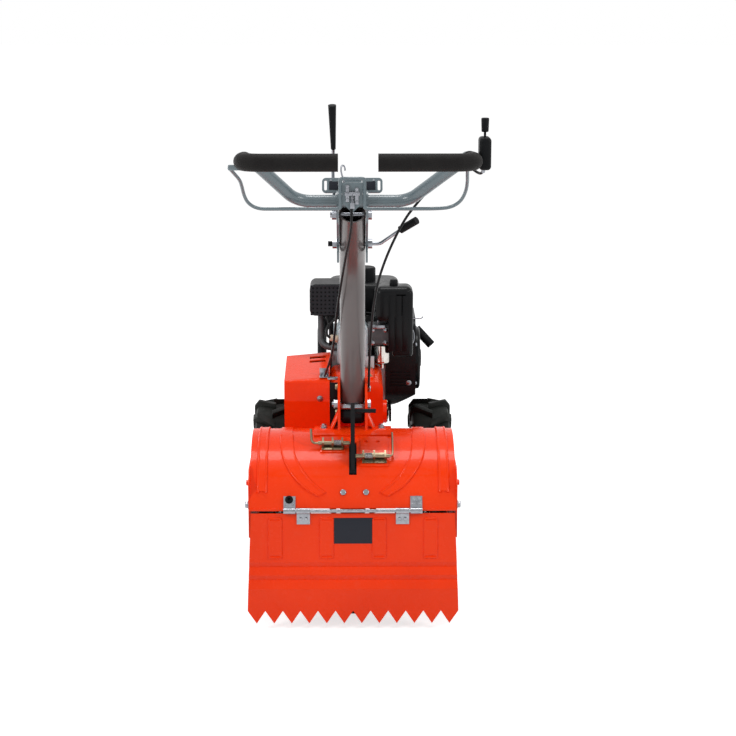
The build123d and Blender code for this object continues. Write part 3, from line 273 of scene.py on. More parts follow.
    @staticmethod
    def fastener(head: Head, radius: float, height: float, washer: float = 0.0) -> Piece:
        """A bolt or screw head at the origin, pointing up.

        Args:
            head: its kind.
            radius: across its corners or its rim, halved.
            height: of the head.
            washer: radius of the washer under it, or 0 for none.

        Returns:
            The new piece.
        """
        foot = WASHER_RISE if washer else 0.0
        body = Bench.cylinder(radius, height + 0.6, (0, 0, foot - 0.6), sides=head.value)
        if head is Head.HEX:
            Bench.soften(body, radius * 0.14, 2, 70.0)
        elif head is Head.DOME:
            Bench.soften(body, min(height * 0.85, radius * 0.6), 4, 70.0)
        else:
            Bench.soften(body, radius * 0.12, 2, 70.0)
            Bench.edit_faces(body, Facing.UP.value, 0.99)
            bpy.ops.mesh.inset(thickness=radius * 0.40 * MM)
            bpy.ops.mesh.inset(thickness=radius * 0.02 * MM, depth=-height * 0.6 * MM)
            bpy.ops.object.mode_set(mode="OBJECT")
        if not washer:
            return body
        plate = Bench.soften(Bench.cylinder(washer, 1.8, (0, 0, -0.4)), 0.4, 2, 70.0)
        return Bench.join([body, plate])

    @staticmethod
    def coil(radius: float, wire: float, turns: int, length: float, place: tuple, facing: tuple) -> Piece:
        """A coil spring.

        Args:
            radius: of the coil.
            wire: the wire's own radius.
            turns: how many.
            length: from end to end.
            place: where it starts.
            facing: the direction that it runs along.

        Returns:
            The new piece.
        """
        deselect()
        sides = 8
        bpy.ops.mesh.primitive_circle_add(vertices=sides, radius=wire * MM, fill_type="NGON",
                                          location=(radius * MM, 0.0, 0.0), rotation=(math.pi / 2, 0.0, 0.0))
        spring = Bench.settle()
        Bench.apply(spring, "SCREW", iterations=turns, steps=18, render_steps=18,
                    screw_offset=length / turns * MM)
        Bench.face_outward(spring, merge=True, holes=sides)
        way = Vector(facing).to_track_quat("Z", "Y").to_matrix().to_4x4()
        spring.data.transform(Matrix.Translation(Vector(place) * MM) @ way)
        return spring

    @staticmethod
    def line(name: str, points: list, radius: float) -> Piece:
        """A round wire, hose or cable along one smooth curve.

        Args:
            name: the piece's name.
            points: its route.
            radius: its own radius.

        Returns:
            The new piece, as a mesh.
        """
        curve = bpy.data.curves.new(name, "CURVE")
        curve.dimensions = "3D"
        curve.bevel_depth = radius * MM
        curve.bevel_resolution = 5
        curve.resolution_u = 10
        curve.use_fill_caps = True
        spline = curve.splines.new("NURBS")
        spline.points.add(len(points) - 1)
        for control, place in zip(spline.points, points):
            control.co = (*(Vector(place) * MM), 1.0)
        spline.order_u = 3
        spline.use_endpoint_u = True
        piece = bpy.data.objects.new(name, curve)
        bpy.context.scene.collection.objects.link(piece)
        Bench.choose(piece)
        bpy.ops.object.convert(target="MESH")
        return bpy.context.object

    @staticmethod
    def finish(piece: Piece, name: str, material: Finish, body: Body, slot: str,
               smooth: float = SMOOTH) -> Piece:
        """Names a piece, smooths it, gives it its finish and puts it on its body.

        Args:
            piece: the piece.
            name: its name.
            material: its finish.
            body: the body that it rides on.
            slot: the record's material slot; not used.
            smooth: edges flatter than this many degrees are smoothed.

        Returns:
            The piece.
        """
        Bench.choose(piece)
        bpy.ops.object.shade_smooth_by_angle(angle=math.radians(smooth))
        piece.name = name
        piece.data.name = name
        piece.data.materials.clear()
        piece.data.materials.append(material)
        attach(piece, body.value)
        LOG.info("piece %s on %s", name, body.value)
        return piece


class ShaderSheet:
    """One material's node tree, with short calls for the nodes that the finishes share."""

    def __init__(self, name: str) -> None:
        """Starts a material with a Principled shader on its output."""
        self.material = bpy.data.materials.new(name)
        self.material.use_nodes = True
        self.tree = self.material.node_tree
        self.tree.nodes.clear()
        self.output = self.tree.nodes.new("ShaderNodeOutputMaterial")
        self.shader = self.tree.nodes.new("ShaderNodeBsdfPrincipled")
        self.join(self.shader.outputs[0], self.output.inputs[0])
        self.place = self.tree.nodes.new("ShaderNodeTexCoord").outputs["Object"]

    def join(self, source: Socket, target: Socket) -> None:
        """Links one socket to another."""
        self.tree.links.new(source, target)

    def set(self, **values) -> None:
        """Sets the shader's own sockets; an underscore in a name stands for a space."""
        for name, value in values.items():
            self.shader.inputs[name.replace("_", " ")].default_value = value

    def stretched(self, scale: tuple) -> Socket:
        """The object coordinates, scaled.

        Args:
            scale: factors along X, Y and Z.

        Returns:
            The scaled vector's socket.
        """
        mapping = self.tree.nodes.new("ShaderNodeMapping")
        mapping.inputs["Scale"].default_value = scale
        self.join(self.place, mapping.inputs["Vector"])
        return mapping.outputs[0]

    def noise(self, scale: float, detail: float = 3.0, roughness: float = 0.55,
              vector: Socket | None = None) -> Socket:
        """A cloudy noise.

        Args:
            scale: features a metre.
            detail: how many finer layers it has.
            roughness: how strong those are.
            vector: what it reads, where that isn't the plain object coordinates.

        Returns:
            The value's socket.
        """
        node = self.tree.nodes.new("ShaderNodeTexNoise")
        node.inputs["Scale"].default_value = scale
        node.inputs["Detail"].default_value = detail
        node.inputs["Roughness"].default_value = roughness
        self.join(vector or self.place, node.inputs["Vector"])
        return node.outputs["Fac"]

    def cells(self, scale: float) -> Socket:
        """The distance to the nearest of many scattered points, as in foam or a rough casting."""
        node = self.tree.nodes.new("ShaderNodeTexVoronoi")
        node.inputs["Scale"].default_value = scale
        self.join(self.place, node.inputs["Vector"])
        return node.outputs["Distance"]

    def ramp(self, value: Socket, low: float, high: float, start: float = 0.0, end: float = 1.0) -> Socket:
        """A value mapped from one span to another and held outside it.

        Args:
            value: the value.
            low: where the span starts.
            high: where it ends.
            start: the result at low.
            end: the result at high.

        Returns:
            The result's socket.
        """
        node = self.tree.nodes.new("ShaderNodeMapRange")
        for name, bound in (("From Min", low), ("From Max", high), ("To Min", start), ("To Max", end)):
            node.inputs[name].default_value = bound
        self.join(value, node.inputs["Value"])
        return node.outputs["Result"]

    def blend(self, share: Socket, first: tuple | Socket, second: tuple) -> Socket:
        """Two colours mixed by a value.

        Args:
            share: of the second colour.
            first: a plain or a linked colour.
            second: a plain colour.

        Returns:
            The mixed colour's socket.
        """
        node = self.tree.nodes.new("ShaderNodeMix")
        node.data_type = "RGBA"
        if isinstance(first, tuple):
            node.inputs["A"].default_value = (*first, 1.0)
        else:
            self.join(first, node.inputs["A"])
        node.inputs["B"].default_value = (*second, 1.0)
        self.join(share, node.inputs["Factor"])
        return node.outputs["Result"]

    def bump(self, height: Socket, depth: float, strength: float = 1.0, under: Socket | None = None) -> Socket:
        """Bumps that follow a value.

        Args:
            height: the value.
            depth: their depth in metres.
            strength: how much of it shows.
            under: bumps that these lie on, if any.

        Returns:
            The normal's socket.
        """
        node = self.tree.nodes.new("ShaderNodeBump")
        node.inputs["Strength"].default_value = strength
        node.inputs["Distance"].default_value = depth
        self.join(height, node.inputs["Height"])
        if under is not None:
            self.join(under, node.inputs["Normal"])
        return node.outputs["Normal"]

    def colour(self, socket: Socket) -> None:
        """Drives the base colour."""
        self.join(socket, self.shader.inputs["Base Color"])

    def roughness(self, socket: Socket) -> None:
        """Drives the roughness."""
        self.join(socket, self.shader.inputs["Roughness"])

    def normal(self, socket: Socket) -> None:
        """Drives the shading normal."""
        self.join(socket, self.shader.inputs["Normal"])


@dataclass(frozen=True)
class GlossPaint:
    """Sprayed enamel: a clear coat over colour, with faint orange peel and dust."""

    name: str
    tint: tuple
    shade: tuple
    rough: float = 0.26
    coat: float = 0.12
    gloss: float = 0.25
    metallic: float = 0.0
    dust: tuple = (0.42, 0.33, 0.25)
    dust_share: float = 0.04

    def make(self) -> Finish:
        """Builds the material."""
        sheet = ShaderSheet(self.name)
        sheet.set(Metallic=self.metallic, Coat_Weight=self.coat, Coat_Roughness=0.05, IOR=1.5,
                  Specular_IOR_Level=self.gloss)
        cloud = sheet.ramp(sheet.noise(6.0, 2.0), 0.3, 0.7)
        base = sheet.blend(cloud, self.tint, self.shade)
        grime = sheet.ramp(sheet.noise(38.0, 6.0, 0.7), 0.56, 0.78, 0.0, self.dust_share)
        sheet.colour(sheet.blend(grime, base, self.dust))
        sheet.roughness(sheet.ramp(sheet.noise(55.0, 5.0, 0.6), 0.35, 0.75, self.rough, self.rough + 0.10))
        sheet.normal(sheet.bump(sheet.noise(140.0, 2.0), 0.00002, 0.7))
        return sheet.material


@dataclass(frozen=True)
class PlatedSteel:
    """Zinc, chrome or bare steel: metal with a cloudy plate and fine drawn lines."""

    name: str
    tint: tuple
    shade: tuple
    rough: float = 0.28
    grain: tuple = (1.0, 8.0, 8.0)

    def make(self) -> Finish:
        """Builds the material."""
        sheet = ShaderSheet(self.name)
        sheet.set(Metallic=1.0)
        cloud = sheet.ramp(sheet.noise(90.0, 5.0, 0.65), 0.32, 0.72)
        sheet.colour(sheet.blend(cloud, self.tint, self.shade))
        lines = sheet.noise(160.0, 4.0, 0.6, sheet.stretched(self.grain))
        sheet.roughness(sheet.ramp(lines, 0.3, 0.7, self.rough * 0.75, self.rough * 1.4))
        sheet.normal(sheet.bump(lines, 0.00003, 0.7))
        return sheet.material


@dataclass(frozen=True)
class CastMetal:
    """A cast surface: sand-blasted grain and a cloudy tone."""

    name: str
    tint: tuple
    shade: tuple
    metallic: float = 0.85
    rough: float = 0.46

    def make(self) -> Finish:
        """Builds the material."""
        sheet = ShaderSheet(self.name)
        sheet.set(Metallic=self.metallic)
        grain = sheet.cells(520.0)
        cloud = sheet.ramp(sheet.noise(24.0, 5.0, 0.7), 0.3, 0.7)
        sheet.colour(sheet.blend(cloud, self.tint, self.shade))
        sheet.roughness(sheet.ramp(grain, 0.0, 0.8, self.rough, self.rough + 0.2))
        sheet.normal(sheet.bump(grain, 0.0001, 0.5))
        return sheet.material


@dataclass(frozen=True)
class MouldedPlastic:
    """Black plastic with a spark-eroded grain and slightly greyer scuffs."""

    name: str
    tint: tuple
    scuff: tuple = (0.06, 0.06, 0.06)
    rough: float = 0.38
    grain: float = 900.0
    coat: float = 0.0
    gloss: float = 0.12

    def make(self) -> Finish:
        """Builds the material."""
        sheet = ShaderSheet(self.name)
        sheet.set(Coat_Weight=self.coat, Coat_Roughness=0.10, Specular_IOR_Level=self.gloss)
        scuffs = sheet.ramp(sheet.noise(70.0, 7.0, 0.75), 0.58, 0.8, 0.0, 0.6)
        sheet.colour(sheet.blend(scuffs, self.tint, self.scuff))
        grain = sheet.noise(self.grain, 2.0, 0.5)
        sheet.roughness(sheet.ramp(sheet.noise(46.0, 4.0), 0.3, 0.7, self.rough, self.rough + 0.16))
        sheet.normal(sheet.bump(grain, 0.00005, 0.7))
        return sheet.material


@dataclass(frozen=True)
class TyreRubber:
    """Greenish-black rubber with a mould's fine marks and a little pale dust."""

    name: str
    tint: tuple = (0.005, 0.006, 0.005)
    bloom: tuple = (0.011, 0.012, 0.010)
    soil: tuple = (0.05, 0.044, 0.034)

    def make(self) -> Finish:
        """Builds the material."""
        sheet = ShaderSheet(self.name)
        sheet.set(Specular_IOR_Level=0.12)
        cloud = sheet.ramp(sheet.noise(18.0, 6.0, 0.7), 0.35, 0.75)
        base = sheet.blend(cloud, self.tint, self.bloom)
        dusty = sheet.ramp(sheet.noise(60.0, 6.0, 0.75), 0.55, 0.8, 0.0, 0.25)
        sheet.colour(sheet.blend(dusty, base, self.soil))
        sheet.roughness(sheet.ramp(sheet.noise(30.0, 4.0), 0.3, 0.7, 0.48, 0.72))
        fine = sheet.bump(sheet.noise(700.0, 3.0), 0.0002)
        sheet.normal(sheet.bump(sheet.noise(60.0, 5.0), 0.0006, 0.5, fine))
        return sheet.material


@dataclass(frozen=True)
class GripFoam:
    """Closed-cell foam: a dull skin full of small pores."""

    name: str
    tint: tuple
    shade: tuple

    def make(self) -> Finish:
        """Builds the material."""
        sheet = ShaderSheet(self.name)
        sheet.set(Sheen_Weight=0.02, Sheen_Roughness=0.6, Roughness=0.75, Specular_IOR_Level=0.10)
        pores = sheet.cells(850.0)
        soft = sheet.noise(45.0, 5.0, 0.7)
        sheet.colour(sheet.blend(sheet.ramp(soft, 0.3, 0.7), self.tint, self.shade))
        sheet.roughness(sheet.ramp(pores, 0.0, 0.7, 0.85, 0.6))
        sheet.normal(sheet.bump(pores, 0.0004, 0.5, sheet.bump(soft, 0.0008, 0.4)))
        return sheet.material


@dataclass(frozen=True)
class ForgedSteel:
    """Tine steel: black paint rubbed away to bright metal where the soil runs over it."""

    name: str
    paint: tuple
    metal: tuple

    def make(self) -> Finish:
        """Builds the material."""
        sheet = ShaderSheet(self.name)
        worn = sheet.ramp(sheet.noise(26.0, 8.0, 0.72), 0.5, 0.64)
        sheet.colour(sheet.blend(worn, self.paint, self.metal))
        sheet.join(sheet.ramp(worn, 0.0, 1.0, 0.2, 0.9), sheet.shader.inputs["Metallic"])
        sheet.roughness(sheet.ramp(sheet.noise(120.0, 5.0), 0.3, 0.7, 0.34, 0.58))
        sheet.normal(sheet.bump(sheet.noise(240.0, 5.0), 0.0003, 0.6))
        return sheet.material


@dataclass(frozen=True)
class Backdrop:
    """The pale floor: white to the eye, and still keeping a soft shadow of the object."""

    name: str = "studio_floor"
    glow: float = 0.68
    diffuse: float = 0.80

    def make(self) -> Finish:
        """Builds the material."""
        sheet = ShaderSheet(self.name)
        sheet.set(Roughness=0.9, Specular_IOR_Level=0.0)
        sheet.shader.inputs["Base Color"].default_value = (self.diffuse, self.diffuse, self.diffuse, 1.0)
        sheet.shader.inputs["Emission Color"].default_value = (1.0, 1.0, 1.0, 1.0)
        path = sheet.tree.nodes.new("ShaderNodeLightPath")
        seen = sheet.tree.nodes.new("ShaderNodeMath")
        seen.operation = "MAXIMUM"
        sheet.join(path.outputs["Is Camera Ray"], seen.inputs[0])
        sheet.join(path.outputs["Is Glossy Ray"], seen.inputs[1])
        sheet.join(sheet.ramp(seen.outputs[0], 0.0, 1.0, 0.0, self.glow), sheet.shader.inputs["Emission Strength"])
        return sheet.material


@dataclass(frozen=True)
class Coat:
    """A built material and the record's slot that it usually fills."""

    material: Finish
    slot: str


class Finishes:
    """Every material on the machine, made once."""

    def __init__(self) -> None:
        """Builds all the materials."""
        self.enamel = Coat(GlossPaint("orange_enamel", (0.92, 0.046, 0.003), (0.84, 0.039, 0.002), 0.22, 0.14,
                                      0.10).make(), "orange_paint")
        self.mast = Coat(GlossPaint("mast_grey_paint", (0.118, 0.100, 0.098), (0.095, 0.080, 0.080), 0.30, 0.25,
                                    0.5, 0.0, (0.2, 0.18, 0.17), 0.04).make(), "mast_paint")
        self.bar = Coat(GlossPaint("bar_blue_grey_paint", (0.150, 0.195, 0.215), (0.125, 0.165, 0.185), 0.26, 0.25,
                                   0.5, 0.0, (0.35, 0.36, 0.36), 0.04).make(), "bar_paint")
        self.black_paint = Coat(GlossPaint("satin_black_paint", (0.006, 0.006, 0.007), (0.010, 0.010, 0.011), 0.36,
                                           0.05, 0.08, 0.0, (0.12, 0.11, 0.10), 0.08).make(), "black_metal")
        self.guard = Coat(GlossPaint("pierced_guard_paint", (0.018, 0.018, 0.022), (0.013, 0.013, 0.016), 0.42,
                                     0.05, 0.15, 0.0, (0.12, 0.11, 0.10), 0.05).make(), "black_metal")
        self.zinc = Coat(PlatedSteel("bright_zinc", (0.33, 0.34, 0.37), (0.21, 0.22, 0.24), 0.24).make(), "zinc")
        self.yellow_zinc = Coat(PlatedSteel("yellow_zinc", (0.27, 0.21, 0.13), (0.19, 0.16, 0.11), 0.28).make(),
                                "zinc")
        self.steel = Coat(PlatedSteel("turned_steel", (0.50, 0.49, 0.47), (0.36, 0.35, 0.34), 0.3).make(), "steel")
        self.chrome = Coat(PlatedSteel("bowl_chrome", (0.62, 0.60, 0.57), (0.42, 0.38, 0.34), 0.08).make(),
                           "chrome")
        self.casting = Coat(CastMetal("cast_aluminium", (0.55, 0.61, 0.63), (0.36, 0.42, 0.45)).make(),
                            "engine_casting")
        self.dark_casting = Coat(CastMetal("dark_casting", (0.10, 0.105, 0.11), (0.05, 0.052, 0.056), 0.6).make(),
                                 "engine_casting")
        self.plastic = Coat(MouldedPlastic("black_moulded_plastic", (0.007, 0.0075, 0.0085), (0.03, 0.03, 0.03),
                                           0.40, 900.0, 0.0, 0.08).make(), "black_plastic")
        self.gloss_plastic = Coat(MouldedPlastic("gloss_black_cover", (0.004, 0.0043, 0.005), (0.010, 0.011, 0.013),
                                                 0.24, 400.0, 0.05, 0.12).make(), "black_plastic")
        self.rubber = Coat(TyreRubber("tyre_rubber").make(), "tyre_rubber")
        self.foam = Coat(GripFoam("black_grip_foam", (0.009, 0.008, 0.008), (0.014, 0.013, 0.0125)).make(),
                         "grip_foam")
        self.tan_foam = Coat(GripFoam("tan_foam", (0.46, 0.34, 0.22), (0.36, 0.26, 0.17)).make(), "grip_foam")
        self.slate = Coat(MouldedPlastic("plain_dark_plate", (0.016, 0.018, 0.026), (0.03, 0.033, 0.045), 0.30,
                                         300.0, 0.1).make(), "black_plastic")
        self.label = Coat(MouldedPlastic("plain_pale_plate", (0.62, 0.66, 0.68), (0.5, 0.54, 0.56), 0.35,
                                         300.0).make(), "black_plastic")
        self.ceramic = Coat(MouldedPlastic("plug_ceramic", (0.50, 0.40, 0.30), (0.40, 0.31, 0.22), 0.3,
                                           300.0).make(), "black_plastic")
        self.tine = Coat(ForgedSteel("tine_steel", (0.016, 0.016, 0.017), (0.40, 0.37, 0.34)).make(), "tine_steel")
        self.rim = Coat(GlossPaint("rim_pale_paint", (0.62, 0.61, 0.58), (0.55, 0.54, 0.51), 0.32, 0.2, 0.4, 0.0,
                                   (0.30, 0.25, 0.2), 0.25).make(), "rim_paint")
        self.sheath = Coat(MouldedPlastic("cable_sheath", (0.010, 0.010, 0.011), (0.03, 0.03, 0.03), 0.32,
                                          500.0).make(), "cable_sheath")


@dataclass
class NodePaint:
    """Which finish each CAD node carries."""

    finishes: Finishes

    def table(self) -> dict:
        """The material of each CAD node, by the node's name."""
        f = self.finishes
        groups = (
            (f.enamel, ("tine_hood", "rear_flap", "gear_case", "belt_cover", "mast_bracket", "hood_side_plates",
                        "latch_plates")),
            (f.black_paint, ("stake_guide", "engine_cradle", "front_guard", "muffler", "depth_stake")),
            (f.yellow_zinc, ("latch_plungers", "stake_latches")),
            (f.zinc, ("flap_hinge", "flap_knuckles", "mast_spacer", "clamp_lever",
                      "mast_bolts")),
            (f.steel, ("axle_left", "axle_right", "tine_shaft")),
            (f.tine, ("tine_gang_left", "tine_gang_right")),
            (f.rim, ("rim_left", "rim_right")),
            (f.rubber, ("tyre_left", "tyre_right")),
            (f.foam, ("grip_left", "grip_right")),
            (f.casting, ("engine_block", "cylinder_head")),
            (f.dark_casting, ("carburettor",)),
            (f.chrome, ("fuel_bowl",)),
            (f.gloss_plastic, ("blower_housing", "fuel_tank", "air_cleaner")),
            (f.plastic, ("starter_grip", "fuel_cap", "shift_lever", "throttle_control")),
            (f.mast, ("mast",)),
            (f.bar, ("handlebar_tube", "head_plates", "linkage_shield", "safety_bail", "control_panel")),
            (f.sheath, ("throttle_cable", "clutch_cable")),
        )
        return {name: coat.material for coat, names in groups for name in names}

    def apply(self) -> None:
        """Gives every CAD node its finish."""
        table = self.table()
        for name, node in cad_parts.items():
            node.data.materials.clear()
            node.data.materials.append(table[name])
            LOG.info("node %s: %s", name, table[name].name)


@dataclass
class Dress:
    """The fittings of one part of the machine, which ride on one body."""

    finishes: Finishes
    body: Body = Body.CHASSIS

    def put(self, piece: Piece, name: str, coat: Coat, slot: str = "", smooth: float = SMOOTH) -> Piece:
        """Finishes a piece and puts it on the body.

        Args:
            piece: the piece.
            name: its name.
            coat: its finish.
            slot: the record's material slot, where it isn't the finish's usual one.
            smooth: edges flatter than this many degrees are smoothed.

        Returns:
            The piece.
        """
        return Bench.finish(piece, name, coat.material, self.body, slot or coat.slot, smooth)

    def fasten(self, name: str, coat: Coat, seats: list, *kind: Head | float) -> Piece:
        """Puts one kind of fastener at every seat.

        Args:
            name: the name of them all.
            coat: their finish.
            seats: rows of a place and the direction that the fastener points along.
            kind: what Bench.fastener takes.

        Returns:
            All of them as one piece.
        """
        return self.put(Bench.spread(Bench.fastener(*kind), seats), name, coat)

    def slab(self, name: str, coat: Coat, low: tuple, high: tuple, *rounding: float, slot: str = "") -> Piece:
        """Puts a box with rounded edges in place.

        Args:
            name: its name.
            coat: its finish.
            low: its lowest corner.
            high: its highest corner.
            rounding: what Bench.soften takes after the piece.
            slot: the record's material slot, where it isn't the finish's usual one.

        Returns:
            The piece.
        """
        return self.put(Bench.soften(Bench.block(low, high), *rounding), name, coat, slot)

    def wire(self, name: str, coat: Coat, route: list, radius: float, slot: str = "",
             smooth: float = SMOOTH) -> Piece:
        """Lays a round wire, rod or hose.

        Args:
            name: its name.
            coat: its finish.
            route: its points.
            radius: its own radius.
            slot: the record's material slot, where it isn't the finish's usual one.
            smooth: edges flatter than this many degrees are smoothed.

        Returns:
            The piece.
        """
        return self.put(Bench.line(name, route, radius), name, coat, slot, smooth)

    def beading(self, name: str, routes: list, radius: float) -> Piece:
        """Lays enamelled beads along many routes.

        Args:
            name: the name of them all.
            routes: each bead's points.
            radius: a bead's own radius.

        Returns:
            All of them as one piece.
        """
        beads = Bench.join([Bench.line("bead", route, radius) for route in routes])
        return self.put(beads, name, self.finishes.enamel, smooth=60.0)


@dataclass
class HoodDress(Dress):
    """Beads, rear lip, bolts, springs and the right pull rod of the tine hood."""

    centre_y: float = -110.0
    centre_z: float = 241.0
    radius: float = 206.0
    latch_lift: float = 12.0
    plate_lift: float = 2.8
    latches: tuple = ((-44.0, -27.0, -198.0), (29.0, 47.0, -236.0))

    def seat(self, x: float, angle: float, lift: float = 0.0) -> tuple:
        """A place on the hood and the direction straight out of it.

        Args:
            x: across the hood.
            angle: from straight ahead, over the top, in degrees.
            lift: over the hood's sheet.

        Returns:
            The place and the direction.
        """
        turn = math.radians(angle)
        reach = self.radius + lift
        place = (x, self.centre_y + reach * math.cos(turn), self.centre_z + reach * math.sin(turn))
        return place, (0.0, math.cos(turn), math.sin(turn))

    def bolts(self) -> None:
        """Adds the carriage bolts, the hinge plates' fixings and the ears' foot bolts."""
        zinc, black = self.finishes.zinc, self.finishes.plastic
        seats = [self.seat(-23.0, 149.8), self.seat(31.0, 149.8)]
        self.fasten("hood_carriage_bolts", zinc, seats, Head.DOME, 7.3, 4.2)
        lift = self.plate_lift
        seats = [self.seat(150.0, 154.6, lift), self.seat(-70.0, 87.0, 5.4), self.seat(70.0, 87.0, 5.4),
                 self.seat(-70.0, 78.0, 5.4), self.seat(70.0, 78.0, 5.4)]
        self.fasten("hood_hexagon_bolts", zinc, seats, Head.HEX, 6.4, 4.5, 8.5)
        seats = [((246.3, -278.0, 312.0), Facing.RIGHT.value), ((-246.3, -278.0, 312.0), Facing.LEFT.value)]
        self.fasten("hood_side_nuts", zinc, seats, Head.HEX, 8.8, 7.0, 10.5)
        self.fasten("hinge_plate_plug", black, [self.seat(-150.0, 154.6, lift)], Head.SOCKET, 7.4, 8.0, 9.5)
        seats = [self.seat(x, 157.6, lift) for x in (-158.0, -141.0, 141.0, 158.0)]
        self.fasten("hinge_plate_rivets", zinc, seats, Head.DOME, 2.6, 1.4)

    def springs(self) -> None:
        """Winds a spring round each latch pin."""
        coils = []
        for x0, x1, y in self.latches:
            rise = math.sqrt((self.radius + self.latch_lift) ** 2 - (y - self.centre_y) ** 2)
            coils.append(Bench.coil(6.9, 1.1, 6, x1 - x0, (x0, y, self.centre_z + rise), Facing.RIGHT.value))
        self.put(Bench.join(coils), "latch_springs", self.finishes.zinc, smooth=60.0)

    def pull_rod(self) -> None:
        """Adds the bent wire that pulls the right latch pin."""
        route = [(84, -236, 419), (91, -236, 419.5), (95, -232, 422), (95, -212, 433.5), (95, -190, 442),
                 (95, -168, 449), (95, -152, 453.5)]
        self.wire("latch_pull_rod", self.finishes.yellow_zinc, route, 2.4)

    def beads(self) -> None:
        """Rounds the edges of the pressed bands with half-sunk beads."""
        lines = []
        for sign in (-1, 1):
            for x in (205.0, 224.0):
                lines.append([self.seat(sign * x, angle, 1.0)[0] for angle in range(12, 151, 6)])
            for arch in (((173, 445), (172, 432), (165, 411), (151, 391), (132, 370), (108, 352), (82, 338)),
                         ((146, 445), (145, 432), (138, 412), (124, 393), (106, 373), (86, 357), (66, 344))):
                route = []
                for x, z in arch:
                    drop = math.sqrt((self.radius + 1.0) ** 2 - (z - self.centre_z) ** 2)
                    route.append((sign * x, self.centre_y - drop, float(z)))
                lines.append(route)
        self.beading("hood_band_beads", lines, 3.5)

    def lips(self) -> None:
        """Turns the hood's rear edge down towards the flap."""
        strips = [Bench.block((x0, -306.0, 304.3), (x1, -303.4, 310.6)) for x0, x1 in ((-243, -137), (137, 243))]
        lip = Bench.soften(Bench.join(strips), 0.8, 2)
        self.put(lip, "hood_rear_lip", self.finishes.enamel)

    def build(self) -> None:
        """Dresses the hood."""
        self.beads()
        self.lips()
        self.bolts()
        self.springs()
        self.pull_rod()


@dataclass
class FlapDress(Dress):
    """The panels' beads, the plain plate and the small screws of the toothed flap."""

    body: Body = Body.FLAP
    top_y: float = -307.34
    top_z: float = 299.0
    lean: float = 5.0 / 111.0
    plate_low: tuple = (-44.6, 226.0)
    plate_high: tuple = (47.0, 288.4)

    def face(self, z: float) -> float:
        """Y of the flap's outer face at a height."""
        return self.top_y - self.lean * (self.top_z - z)

    def plate(self) -> None:
        """Adds the blank dark plate, which lies on the sloping sheet."""
        (x0, z0), (x1, z1) = self.plate_low, self.plate_high
        plate = Bench.block((x0, -1.1, z0), (x1, -0.1, z1))
        Bench.apply(plate, "BEVEL", width=4.0 * MM, segments=4, limit_method="NONE", affect="EDGES")
        for vertex in plate.data.vertices:
            depth = max(-1.1, min(-0.1, vertex.co.y / MM))
            vertex.co.y = (self.face(vertex.co.z / MM) + depth) * MM
        self.put(plate, "blank_flap_plate", self.finishes.slate)

    def screws(self) -> None:
        """Adds the straps' screws."""
        rows = [((x, self.face(287.0) - 4.4, 287.0), Facing.REARWARD.value) for x in (-123, -110, 110, 123)]
        self.fasten("flap_strap_screws", self.finishes.zinc, rows, Head.DOME, 4.0, 2.4)

    def beads(self) -> None:
        """Rounds the upright edges of the four pressed panels."""
        lines = []
        for middle in (-183.0, -62.0, 62.0, 183.0):
            for x in (middle - 14.0, middle + 14.0):
                lines.append([(x, self.face(z) - 0.2, z) for z in (286.0, 270.0, 250.0, 230.0, 210.0, 194.0)])
            for z in (192.0, 287.0):
                lines.append([(middle + dx, self.face(z) - 0.2, z) for dx in (-14.0, -6.0, 6.0, 14.0)])
        self.beading("flap_panel_beads", lines, 2.9)

    def build(self) -> None:
        """Dresses the flap."""
        self.beads()
        self.plate()
        self.screws()


